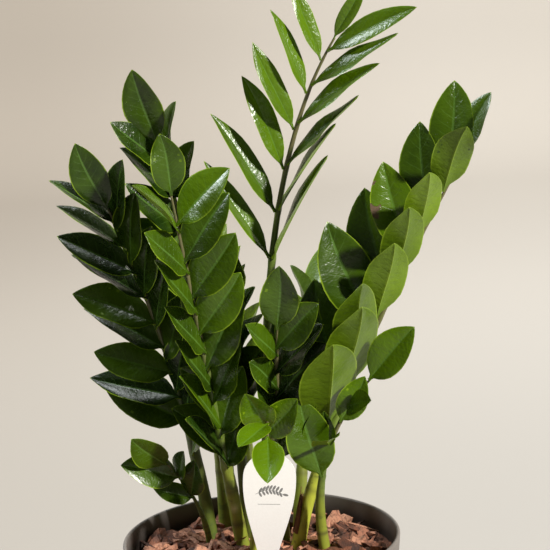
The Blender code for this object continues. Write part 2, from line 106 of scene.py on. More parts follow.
@dataclass(frozen=True)
class GrowthSizes:
    """Sizes that all fronds share, as in the CAD model.

    Attributes:
        clearance: gap between a loose leaflet and its stalk.
        bark_drop: depth of the bark's middle surface under the rim.
        bark_depth: depth of the bark over the rhizomes.
        stalk_taper: power by which the radius falls along the stalk.
        face_rise: how far a stalk's upper side looks up.
        leaflet_fold: rise of each half of a leaflet from its midrib.
        leaflet_bow: fall of a leaflet along its length, over its length.
        bow_start: share of the bow by which it first rises.
        leaflet_room: least room round a leaflet.
        root_depth: how far a joined leaflet springs from the stalk's middle, in its radii.
        stalk_round: height of the stalk's rounded tip in this model.
        end_turns: spread, lift and roll of the last leaflet.
    """

    clearance: float = 0.0003
    bark_drop: float = 0.020
    bark_depth: float = 0.016
    stalk_foot_radius: float = 0.0066
    stalk_tip_radius: float = 0.0013
    stalk_taper: float = 0.9
    face_rise: float = 0.15
    stalk_sides: int = 8
    stalk_steps: int = 11
    leaflet_thickness: float = 0.0014
    leaflet_neck_radius: float = 0.0012
    leaflet_fold: float = math.radians(13)
    leaflet_bow: float = 0.07
    bow_start: float = 0.3
    leaflet_room: float = 0.0009
    root_depth: float = 0.3
    stalk_round: float = 0.001
    end_turns: Triple = (8, 0, 0)

    def bark_top(self) -> float:
        """Height of the bark's middle surface."""
        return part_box("pot")[1].z - self.bark_drop

    def stalk_base(self) -> float:
        """Height where the stalks stand on their rhizomes."""
        return self.bark_top() - self.bark_depth


SIZES = GrowthSizes()


@dataclass(frozen=True)
class Leaflet:
    """The pose of one leaflet.

    Attributes:
        root: where its neck meets the stalk.
        outward: straight out of the stalk.
        stalk_along: the stalk's direction there.
        direction: the way its midrib runs.
        upper: the way its upper surface faces.
        length: from root to tip.
        width: across the blade.
        share: share of the stalk's length where it springs.
    """

    root: Vector
    outward: Vector
    stalk_along: Vector
    direction: Vector
    upper: Vector
    length: float
    width: float
    share: float

    def turn(self) -> Euler:
        """The turn that lays a blade along it, with the blade's upper side up."""
        side = self.upper.cross(self.direction)
        return Matrix((self.direction, side, self.upper)).transposed().to_euler()


@dataclass(frozen=True)
class Frond:
    """One stalk with its leaflets; places are from the bark's middle, with z above the bark.

    Attributes:
        name: the frond's name, which its CAD node carries too.
        foot: x and y where the stalk leaves the bark.
        bend: control point that bows the stalk.
        tip: where the last leaflet springs.
        facing: compass direction of its upper side, in degrees from +X towards +Y.
        left: the left row.
        right: the right row.
        end_length: length of the last leaflet.
        slim: a leaflet's width over its length.
        stout: stalk thickness over a full-grown stalk's.
        loose: whether each leaflet has its own CAD node.
        youth_and_shade: 0 for old dark foliage to 1 for fresh light foliage; lower values also paint
            shade on fronds that stand in shade.
    """

    name: str
    foot: Pair
    bend: Triple
    tip: Triple
    facing: float
    left: Row
    right: Row
    end_length: float
    slim: float = 0.40
    stout: float = 1.0
    loose: bool = False
    youth_and_shade: float = 0.35

    def point(self, share: float) -> Vector:
        """The stalk's middle line at a share of its length.

        Args:
            share: 0 at the bark to 1 at the tip.

        Returns:
            The point in the row frame.
        """
        up = Vector((0, 0, SIZES.bark_top()))
        foot = Vector((*self.foot, 0)) + up
        bend = Vector(self.bend) + up
        tip = Vector(self.tip) + up
        return foot * (1 - share) ** 2 + bend * 2 * share * (1 - share) + tip * share**2

    def tangent(self, share: float) -> Vector:
        """The stalk's direction at a share of its length."""
        foot, bend, tip = Vector((*self.foot, 0)), Vector(self.bend), Vector(self.tip)
        return ((bend - foot) * (1 - share) + (tip - bend) * share).normalized()

    def axes(self, share: float) -> tuple[Vector, Vector, Vector]:
        """The stalk's direction, the way its upper side faces, and its right-hand direction."""
        along = self.tangent(share)
        turn = math.radians(self.facing)
        face = Vector((math.cos(turn), math.sin(turn), SIZES.face_rise))
        face = (face - along * face.dot(along)).normalized()
        return along, face, along.cross(face)

    def radius(self, share: float) -> float:
        """The stalk's radius at a share of its length."""
        spare = SIZES.stalk_foot_radius * self.stout - SIZES.stalk_tip_radius
        return SIZES.stalk_tip_radius + spare * (1 - share) ** SIZES.stalk_taper

    def pose(self, share: float, side: Side, turns: Triple, length: float) -> Leaflet:
        """Works out how one leaflet lies.

        Args:
            share: where it springs, as a share of the stalk's length.
            side: its row.
            turns: spread, lift and roll in degrees.
            length: its length.

        Returns:
            The leaflet's pose.
        """
        along, face, right = self.axes(share)
        spread, lift, roll = (math.radians(value) for value in turns)
        sign = side.value
        if side is Side.END:
            outward = along
            direction = (math.cos(spread) * along + math.sin(spread) * face).normalized()
            upper = (face - direction * face.dot(direction)).normalized()
        else:
            outward = math.cos(lift) * sign * right + math.sin(lift) * face
            upper = math.cos(lift) * face - math.sin(lift) * sign * right
            direction = math.cos(spread) * along + math.sin(spread) * outward
        upper = Matrix.Rotation(-roll * sign, 3, direction) @ upper
        if self.loose:
            stand_off = self.radius(share) + SIZES.clearance if sign else SIZES.clearance
        else:
            stand_off = self.radius(share) * SIZES.root_depth if sign else -SIZES.stalk_tip_radius
        root = self.point(share) + outward * stand_off
        return Leaflet(root, outward, along, direction, upper, length, length * self.slim, share)

    def wishes(self) -> Iterator[tuple[float, Side, Triple, float]]:
        """Yields each leaflet's share, row, turns and length: left row, right row, last one."""
        for row, side in ((self.left, Side.LEFT), (self.right, Side.RIGHT)):
            for i in range(row.count):
                up = i / max(row.count - 1, 1)
                ranges = (row.reach, row.spread, row.lift, row.roll, row.length)
                share, spread, lift, roll, length = (low + (high - low) * up for low, high in ranges)
                yield share, side, (spread, lift, roll), length
        yield 1.0, Side.END, SIZES.end_turns, self.end_length

    def rough_stalk(self, extra: float = 0.0) -> Shape:
        """The stalk as the CAD model has it, grown by an extra radius."""
        rings = []
        for step in range(-1, SIZES.stalk_steps + 1):
            share = max(step, 0) / SIZES.stalk_steps
            along, face, side = self.axes(share)
            centre, radius = self.point(share), self.radius(share) + extra
            turns = [2 * math.pi * i / SIZES.stalk_sides for i in range(SIZES.stalk_sides)]
            ring = [centre + radius * (face * math.cos(a) + side * math.sin(a)) for a in turns]
            if step < 0:
                low = SIZES.stalk_base() - extra
                ring = [point + along * ((low - point.z) / along.z) for point in ring]
            rings.append(ring)
        shape = bmesh.new()
        bridge_rings(shape, rings)
        return shape


# Each frond's youth value also carries painted shade: fronds that stand in shade get low values, so
# their leaflets take the darker old colours.
FRONDS = (
    Frond(
        "tall", (0.012, 0.068), (0.002, 0.040, 0.330), (0.087, 0.020, 0.462), 250,
        left=Row(6, (0.47, 0.93), (40, 40), (14, 14), (62, 40), (0.104, 0.068)),
        right=Row(6, (0.47, 0.96), (26, 38), (25, 10), (68, 16), (0.104, 0.080)),
        end_length=0.058, slim=0.22, loose=True, youth_and_shade=0.8,
    ),
    Frond(
        "right", (0.033, 0.024), (0.060, 0.005, 0.130), (0.191, -0.005, 0.352), 200,
        left=Row(8, (0.40, 0.97), (54, 34), (42, 42), (0, 0), (0.098, 0.074)),
        right=Row(7, (0.39, 0.94), (30, 24), (54, 48), (36, 32), (0.102, 0.066)),
        end_length=0.066, slim=0.44, loose=True, youth_and_shade=0.42,
    ),
    Frond(
        "front_left", (-0.017, 0.024), (-0.038, 0.000, 0.160), (-0.062, -0.015, 0.340), 290,
        left=Row(7, (0.26, 0.90), (28, 36), (32, 30), (28, 34), (0.072, 0.060)),
        right=Row(8, (0.25, 0.92), (24, 46), (34, 26), (26, 34), (0.072, 0.062)),
        end_length=0.056, slim=0.50, youth_and_shade=0.42,
    ),
    Frond(
        "left", (-0.047, 0.062), (-0.060, 0.050, 0.160), (-0.121, 0.035, 0.322), 260,
        left=Row(9, (0.36, 0.95), (56, 30), (14, 14), (40, 62), (0.074, 0.070)),
        right=Row(8, (0.26, 0.93), (30, 32), (30, 30), (24, 26), (0.074, 0.064)),
        end_length=0.062, slim=0.44, youth_and_shade=0.12,
    ),
    Frond(
        "back_left", (-0.033, 0.081), (-0.034, 0.080, 0.220), (-0.074, 0.055, 0.376), 262,
        left=Row(6, (0.46, 0.92), (38, 30), (28, 28), (32, 32), (0.074, 0.064)),
        right=Row(6, (0.46, 0.92), (40, 32), (28, 28), (32, 28), (0.074, 0.060)),
        end_length=0.070, slim=0.44, youth_and_shade=0.3,
    ),
    Frond(
        "low_right", (0.057, 0.004), (0.042, -0.010, 0.100), (0.104, -0.020, 0.166), 235,
        left=Row(3, (0.40, 0.72), (18, 34), (26, 14), (10, 14), (0.066, 0.046)),
        right=Row(2, (0.58, 0.80), (42, 44), (46, 46), (10, 10), (0.050, 0.042)),
        end_length=0.056, slim=0.50, stout=0.8, youth_and_shade=0.6,
    ),
    Frond(
        "centre_left", (-0.010, 0.050), (-0.018, 0.030, 0.140), (-0.018, 0.005, 0.235), 262,
        left=Row(5, (0.36, 0.84), (44, 44), (22, 14), (36, 36), (0.078, 0.060)),
        right=Row(4, (0.44, 0.88), (36, 34), (32, 32), (32, 32), (0.062, 0.054)),
        end_length=0.066, slim=0.46, youth_and_shade=0.12,
    ),
    Frond(
        "centre", (0.020, 0.042), (0.018, 0.015, 0.130), (0.024, -0.010, 0.215), 272,
        left=Row(3, (0.50, 0.84), (36, 40), (36, 36), (32, 32), (0.058, 0.048)),
        right=Row(5, (0.36, 0.88), (42, 36), (22, 22), (36, 36), (0.078, 0.062)),
        end_length=0.062, slim=0.50, youth_and_shade=0.22,
    ),
    Frond(
        "front_centre", (-0.008, 0.000), (0.014, -0.004, 0.170), (0.010, -0.050, 0.124), 270,
        left=Row(1, (0.60, 0.60), (30, 30), (10, 10), (0, 0), (0.050, 0.050)),
        right=Row(2, (0.52, 0.84), (30, 40), (10, 10), (0, 0), (0.050, 0.040)),
        end_length=0.044, slim=0.50, stout=0.7, youth_and_shade=0.75,
    ),
    Frond(
        "small_left", (-0.048, 0.040), (-0.052, 0.030, 0.050), (-0.083, 0.010, 0.090), 255,
        left=Row(2, (0.54, 0.80), (44, 34), (20, 20), (50, 24), (0.038, 0.054)),
        right=Row(2, (0.56, 0.78), (36, 42), (20, 20), (10, 20), (0.044, 0.036)),
        end_length=0.048, slim=0.48, stout=0.45, youth_and_shade=0.25,
    ),
    Frond(
        "rear_right", (0.036, 0.064), (0.046, 0.080, 0.130), (0.062, 0.118, 0.205), 75,
        left=Row(6, (0.35, 0.92), (44, 36), (24, 24), (32, 32), (0.074, 0.058)),
        right=Row(6, (0.35, 0.92), (44, 36), (24, 24), (32, 32), (0.074, 0.058)),
        end_length=0.060, slim=0.44, youth_and_shade=0.35,
    ),
    Frond(
        "rear_left", (-0.002, 0.084), (-0.012, 0.105, 0.150), (-0.040, 0.135, 0.245), 105,
        left=Row(6, (0.35, 0.92), (44, 36), (24, 24), (32, 32), (0.074, 0.058)),
        right=Row(6, (0.35, 0.92), (44, 36), (24, 24), (32, 32), (0.074, 0.058)),
        end_length=0.060, slim=0.44, youth_and_shade=0.35,
    ),
)


# ---- Mesh helpers -------------------------------------------------------------------------------
def add_object(name: str, data: bpy.types.ID) -> Piece:
    """Puts a new object in the scene, at the origin."""
    made = bpy.data.objects.new(name, data)
    bpy.context.scene.collection.objects.link(made)
    return made


def weave(shape: Shape, rows: Sequence[Sequence[Vector]], *,
          closed: bool = True) -> list[list[bmesh.types.BMVert]]:
    """Joins rows of points with four-sided faces.

    Args:
        shape: mesh to add to.
        rows: rows of equal count, in order.
        closed: whether each row is a ring.

    Returns:
        The rows' vertices.
    """
    loops = [[shape.verts.new(point) for point in row] for row in rows]
    for lower, upper in zip(loops, loops[1:]):
        for i in range(len(lower) if closed else len(lower) - 1):
            j = (i + 1) % len(lower)
            shape.faces.new((lower[i], lower[j], upper[j], upper[i]))
    return loops


def bridge_rings(shape: Shape, rings: Sequence[Sequence[Vector]], first: Vector | None = None,
                 last: Vector | None = None) -> list[list[bmesh.types.BMVert]]:
    """Bridges rings of points and closes each end with a point or a flat cap.

    Args:
        shape: mesh to add to.
        rings: rings of equal count, in order.
        first: point that closes the first ring, or None for a cap.
        last: point that closes the last ring, or None for a cap.

    Returns:
        The rings' vertices.
    """
    loops = weave(shape, rings)
    for loop, apex in ((loops[0], first), (loops[-1], last)):
        if apex is None:
            shape.faces.new(loop)
            continue
        top = shape.verts.new(apex)
        for i in range(len(loop)):
            shape.faces.new((loop[i], loop[(i + 1) % len(loop)], top))
    return loops


def hill(offset: float) -> float:
    """A smooth hill: 1 at no offset, and near 0 beyond two."""
    return math.exp(-(offset**2))


def keep_hull(shape: Shape) -> None:
    """Wraps a mesh's points in their hull and drops the points inside it."""
    hull = bmesh.ops.convex_hull(shape, input=shape.verts)
    inside = [item for item in hull["geom_interior"] if isinstance(item, bmesh.types.BMVert)]
    bmesh.ops.delete(shape, geom=inside, context="VERTS")
    loose = [vertex for vertex in shape.verts if not vertex.link_faces]
    bmesh.ops.delete(shape, geom=loose, context="VERTS")


def circle(radius: float, z: float, sides: int) -> list[Vector]:
    """Points of a level circle about the Z axis."""
    turns = (2 * math.pi * i / sides for i in range(sides))
    return [Vector((radius * math.cos(a), radius * math.sin(a), z)) for a in turns]


def to_object(name: str, shape: Shape, materials: Sequence[Material], *,
              outward: bool = True, sharp: float = math.radians(50)) -> Piece:
    """Turns a bmesh into a smooth-shaded object at the origin.

    Args:
        name: object name.
        shape: the mesh, which is freed.
        materials: material slots.
        outward: whether to recalculate the faces' outward direction.
        sharp: angle beyond which an edge stays crisp.

    Returns:
        The new object.
    """
    if outward:
        bmesh.ops.recalc_face_normals(shape, faces=shape.faces)
    mesh = bpy.data.meshes.new(name)
    shape.to_mesh(mesh)
    shape.free()
    for finish in materials:
        mesh.materials.append(finish)
    mesh.shade_smooth()
    mesh.set_sharp_from_angle(angle=sharp)
    return add_object(name, mesh)


def settle(piece: Piece, slot: str, *replaced: str) -> Piece:
    """Makes a finished piece ride on the root body, and reports it.

    Args:
        piece: the finished piece.
        slot: not used.
        *replaced: CAD nodes that it stands for.

    Returns:
        The same piece.
    """
    if replaced:
        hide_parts(*replaced)
    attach(piece, ROOT_BODY)
    LOG.info("%s: %d faces, stands for %s", piece.name, len(piece.data.polygons), replaced or "nothing")
    return piece


def plain_copy(name: str, live: Piece) -> Piece:
    """Turns an object with live modifiers into a plain mesh object, and removes the live one.

    Args:
        name: name of the plain object.
        live: object whose evaluated mesh is taken.

    Returns:
        The plain object.
    """
    graph = bpy.context.evaluated_depsgraph_get()
    mesh = bpy.data.meshes.new_from_object(live.evaluated_get(graph), preserve_all_data_layers=True,
                                           depsgraph=graph)
    mesh.name = name
    bpy.data.objects.remove(live)
    return add_object(name, mesh)


# ---- Growth: every leaflet finds a place clear of its neighbours -----------------------------------
class Grower:
    """Poses the leaflets of all fronds exactly as the CAD model does."""

    OUTLINE = ((0.10, 0.42), (0.34, 1.0), (0.62, 0.86), (0.86, 0.38))
    STEPS = ((0, 1, 0), (0, -1, 0), (1, 0, 0), (-1, 0, 0), (0, 0, 2), (0, 0, -2),
             (1, 1, 1), (-1, 1, -1), (1, -1, 1), (-1, -1, -1))
    SIZES_TRIED = (5, 10, 16, 23, 31)
    LENGTHS_TRIED = (1.0, 0.85, 0.7, 0.55, 0.42)
    WILD_SPREAD, WILD_LIFT, WILD_ROLL = 6, 6, 10
    WILD_LENGTHS = (0.92, 1.08)

    def __init__(self, seed: int = 7) -> None:
        """Starts with the stalks and the tag in place."""
        self.chance = random.Random(seed)
        room = SIZES.leaflet_room
        self.stalks = {frond.name: self._tree(frond.rough_stalk(room)) for frond in FRONDS}
        self.taken = [self._tree(CardTag().rough_shape(room))]
        self.trials = [(0, 0, 0)] + [
            tuple(part * size for part in step) for size in self.SIZES_TRIED for step in self.STEPS
        ]

    @staticmethod
    def _tree(shape: Shape) -> BVHTree:
        """A search tree of a bmesh, which is freed."""
        tree = BVHTree.FromBMesh(shape)
        shape.free()
        return tree

    def rough_leaflet(self, leaflet: Leaflet, room: float = 0.0) -> Shape:
        """The leaflet's simple solid, as in the CAD model, grown by some room."""
        side = leaflet.upper.cross(leaflet.direction)
        neck_up = leaflet.outward.cross(leaflet.stalk_along)
        if neck_up.length < 0.1:
            neck_up = leaflet.upper
        neck_up = neck_up.normalized()
        neck_side = neck_up.cross(leaflet.outward)
        if neck_up.dot(leaflet.upper) < 0:
            neck_up = -neck_up
        if neck_side.dot(side) < 0:
            neck_side = -neck_side
        thick = SIZES.leaflet_thickness / 2 + room
        neck = SIZES.leaflet_neck_radius
        start = leaflet.root + leaflet.outward * room * 2
        rings = [[start - neck_side * neck, start + neck_up * neck, start + neck_side * neck,
                  start - neck_up * neck]]
        fall = SIZES.leaflet_bow * leaflet.length
        for share, broad in self.OUTLINE:
            middle = leaflet.root + leaflet.direction * leaflet.length * share
            middle = middle - leaflet.upper * fall * (share * share - SIZES.bow_start * share)
            half = leaflet.width / 2 * broad + room
            rise = leaflet.upper * half * math.tan(SIZES.leaflet_fold)
            rings.append([middle - side * half + rise, middle + leaflet.upper * thick,
                          middle + side * half + rise, middle - leaflet.upper * thick])
        tip = leaflet.root + leaflet.direction * (leaflet.length + room)
        tip = tip - leaflet.upper * fall * (1 - SIZES.bow_start)
        shape = bmesh.new()
        bridge_rings(shape, rings, last=tip)
        bmesh.ops.triangulate(shape, faces=shape.faces)
        return shape

    def _is_clear(self, frond: Frond, leaflet: Leaflet, own_stalk: BVHTree,
                  others: list[BVHTree]) -> bool:
        """Whether a leaflet keeps its room, and only its neck meets its own stalk."""
        roomy = self._tree(self.rough_leaflet(leaflet, SIZES.leaflet_room))
        if any(roomy.overlap(other) for other in others):
            return False
        return not frond.loose or not self._tree(self.rough_leaflet(leaflet)).overlap(own_stalk)

    def _place(self, frond: Frond, wish: tuple[float, Side, Triple, float], own_stalk: BVHTree,
               others: list[BVHTree]) -> Leaflet:
        """Finds the nearest clear pose to the one wished for."""
        share, side, turns, length = wish
        for shrink in self.LENGTHS_TRIED:
            for trial in self.trials:
                bent = tuple(turn + extra for turn, extra in zip(turns, trial))
                leaflet = frond.pose(share, side, bent, length * shrink)
                if self._is_clear(frond, leaflet, own_stalk, others):
                    return leaflet
        return frond.pose(share, side, turns, length)

    def grow(self, frond: Frond) -> list[Leaflet]:
        """Poses every leaflet of one frond.

        Args:
            frond: the frond to clothe; fronds come in the plan's order.

        Returns:
            Its leaflets: left row, right row, then the last one.
        """
        others = [tree for name, tree in self.stalks.items() if name != frond.name]
        own_stalk = self._tree(frond.rough_stalk())
        grown: list[Leaflet] = []
        for share, side, turns, length in frond.wishes():
            wild = (self.WILD_SPREAD, self.WILD_LIFT, self.WILD_ROLL)
            turns = tuple(turn + self.chance.uniform(-most, most) for turn, most in zip(turns, wild))
            length *= self.chance.uniform(*self.WILD_LENGTHS)
            wish = (share, side, turns, length)
            leaflet = self._place(frond, wish, own_stalk, others + self.taken)
            self.taken.append(self._tree(self.rough_leaflet(leaflet)))
            grown.append(leaflet)
        return grown


# ---- Node trees ---------------------------------------------------------------------------------
class Paint:
    """A material's node tree, with short calls for the nodes that the finishes use."""

    def __init__(self, name: str) -> None:
        """Makes the material and takes hold of its Principled surface."""
        self.material = bpy.data.materials.new(name)
        self.material.use_nodes = True
        self.tree = self.material.node_tree
        self.surface = self.tree.nodes["Principled BSDF"]

    def _feed(self, target: Socket, value: object) -> None:
        """Links a socket or sets a constant."""
        if isinstance(value, Socket):
            self.tree.links.new(value, target)
        elif isinstance(value, tuple) and len(value) == 3 and target.type == "RGBA":
            target.default_value = (*value, 1.0)
        else:
            target.default_value = value

    def set(self, **values: object) -> None:
        """Sets or links inputs of the surface; underscores in names stand for spaces."""
        for name, value in values.items():
            self._feed(self.surface.inputs[name.replace("_", " ")], value)

    def place(self) -> Socket:
        """Object coordinates."""
        return self.tree.nodes.new("ShaderNodeTexCoord").outputs["Object"]

    def attribute(self, name: str) -> Socket:
        """A number stored on the mesh."""
        node = self.tree.nodes.new("ShaderNodeAttribute")
        node.attribute_name = name
        return node.outputs["Fac"]

    def maths(self, operation: str, *values: object, clamp: bool = False) -> Socket:
        """One step of arithmetic."""
        node = self.tree.nodes.new("ShaderNodeMath")
        node.operation = operation
        node.use_clamp = clamp
        for target, value in zip(node.inputs, values):
            self._feed(target, value)
        return node.outputs[0]

    def plus(self, *values: object, clamp: bool = False) -> Socket:
        """The sum of two values."""
        return self.maths("ADD", *values, clamp=clamp)

    def minus(self, *values: object) -> Socket:
        """The first value less the second."""
        return self.maths("SUBTRACT", *values)

    def times(self, *values: object) -> Socket:
        """The product of two values."""
        return self.maths("MULTIPLY", *values)

    def absolute(self, value: object) -> Socket:
        """A value without its sign."""
        return self.maths("ABSOLUTE", value)

    def stretch(self, vector: object, scale: Triple) -> Socket:
        """Scales coordinates, each axis by its own factor."""
        node = self.tree.nodes.new("ShaderNodeMapping")
        self._feed(node.inputs["Vector"], vector)
        node.inputs["Scale"].default_value = scale
        return node.outputs[0]

    def combine(self, *parts: object) -> Socket:
        """A vector from its parts."""
        node = self.tree.nodes.new("ShaderNodeCombineXYZ")
        for target, value in zip(node.inputs, parts):
            self._feed(target, value)
        return node.outputs[0]

    def split(self, vector: object) -> list[Socket]:
        """The three parts of a vector."""
        node = self.tree.nodes.new("ShaderNodeSeparateXYZ")
        self._feed(node.inputs["Vector"], vector)
        return list(node.outputs)

    def noise(self, vector: object, scale: float, detail: float, rough: float = 0.55) -> Socket:
        """Soft clouds of value 0 to 1."""
        node = self.tree.nodes.new("ShaderNodeTexNoise")
        self._feed(node.inputs["Vector"], vector)
        node.inputs["Scale"].default_value = scale
        node.inputs["Detail"].default_value = detail
        node.inputs["Roughness"].default_value = rough
        return node.outputs["Fac"]

    def cells(self, vector: object, scale: float) -> Socket:
        """Distance to the nearest of scattered points."""
        node = self.tree.nodes.new("ShaderNodeTexVoronoi")
        self._feed(node.inputs["Vector"], vector)
        node.inputs["Scale"].default_value = scale
        return node.outputs["Distance"]

    def span(self, value: object, low: float, high: float, start: float = 0.0,
             end: float = 1.0) -> Socket:
        """Maps low..high smoothly to start..end."""
        node = self.tree.nodes.new("ShaderNodeMapRange")
        node.interpolation_type = "SMOOTHSTEP"
        names = ("Value", "From Min", "From Max", "To Min", "To Max")
        for name, item in zip(names, (value, low, high, start, end)):
            self._feed(node.inputs[name], item)
        return node.outputs[0]

    def mix(self, factor: object, first: object, second: object) -> Socket:
        """Blends two colours."""
        node = self.tree.nodes.new("ShaderNodeMix")
        node.data_type = "RGBA"
        colours = [socket for socket in node.inputs if socket.type == "RGBA"]
        self._feed(node.inputs[0], factor)
        self._feed(colours[0], first)
        self._feed(colours[1], second)
        return next(socket for socket in node.outputs if socket.type == "RGBA")

    def bump(self, height: object, strength: float, distance: float) -> None:
        """Raises the surface by a height pattern."""
        node = self.tree.nodes.new("ShaderNodeBump")
        node.inputs["Strength"].default_value = strength
        node.inputs["Distance"].default_value = distance
        self._feed(node.inputs["Height"], height)
        self.tree.links.new(node.outputs["Normal"], self.surface.inputs["Normal"])


class Scatter:
    """A Geometry Nodes tree that repeats pieces on points, ends in real mesh and sets its finish."""

    def __init__(self, name: str) -> None:
        """Makes an empty tree with a geometry input and output."""
        self.group = bpy.data.node_groups.new(name, "GeometryNodeTree")
        self.group.interface.new_socket("Geometry", in_out="INPUT", socket_type="NodeSocketGeometry")
        self.group.interface.new_socket("Geometry", in_out="OUTPUT", socket_type="NodeSocketGeometry")
        self.entry = self.group.nodes.new("NodeGroupInput")
        self.exit = self.group.nodes.new("NodeGroupOutput")

    def ask(self, name: str, kind: str) -> None:
        """Adds a named input of a kind: Object, Material, Float or Int."""
        self.group.interface.new_socket(name, in_out="INPUT", socket_type=f"NodeSocket{kind}")

    def node(self, kind: str, links: dict[str, object] | None = None,
             **settings: object) -> bpy.types.Node:
        """Adds a node, sets its properties, and links or fills its inputs by name."""
        made = self.group.nodes.new(kind)
        for name, value in settings.items():
            setattr(made, name, value)
        for name, value in (links or {}).items():
            target = next(item for item in made.inputs if item.name == name and item.enabled)
            if isinstance(value, Socket):
                self.group.links.new(value, target)
            else:
                target.default_value = value
        return made

    def stored(self, name: str, kind: str) -> Socket:
        """Reads an attribute of the points."""
        node = self.node("GeometryNodeInputNamedAttribute", {"Name": name}, data_type=kind)
        return node.outputs["Attribute"]

    def chance(self, kind: str, low: object, high: object, seed: object = 0) -> Socket:
        """A random value between two, of a kind: FLOAT or FLOAT_VECTOR."""
        links = {"Min": low, "Max": high, "Seed": seed}
        node = self.node("FunctionNodeRandomValue", links, data_type=kind)
        return next(socket for socket in node.outputs if socket.enabled)

    def gather(self, names: Sequence[str]) -> Socket:
        """Collects the objects of several inputs, each as one instance to pick from."""
        joined = self.node("GeometryNodeJoinGeometry")
        for name in names:
            links = {"Object": self.entry.outputs[name], "As Instance": True}
            info = self.node("GeometryNodeObjectInfo", links)
            self.group.links.new(info.outputs["Geometry"], joined.inputs[0])
        return joined.outputs[0]

    def end(self, geometry: Socket) -> None:
        """Makes the instances real, sets the finish and closes the tree."""
        real = self.node("GeometryNodeRealizeInstances", {"Geometry": geometry})
        links = {"Geometry": real.outputs[0], "Material": self.entry.outputs["Finish"]}
        finished = self.node("GeometryNodeSetMaterial", links)
        self.group.links.new(finished.outputs[0], self.exit.inputs[0])

    def run(self, name: str, source: Piece, inputs: dict[str, object]) -> Piece:
        """Runs the tree on an object.

        Args:
            name: name of the plain object that results.
            source: object that carries the points or the surface; it is removed.
            inputs: values of the named inputs.

        Returns:
            The plain mesh object.
        """
        modifier = source.modifiers.new(self.group.name, "NODES")
        modifier.node_group = self.group
        for item in self.group.interface.items_tree:
            if item.item_type == "SOCKET" and item.in_out == "INPUT" and item.name in inputs:
                modifier[item.identifier] = inputs[item.name]
        source.update_tag()
        return plain_copy(name, source)


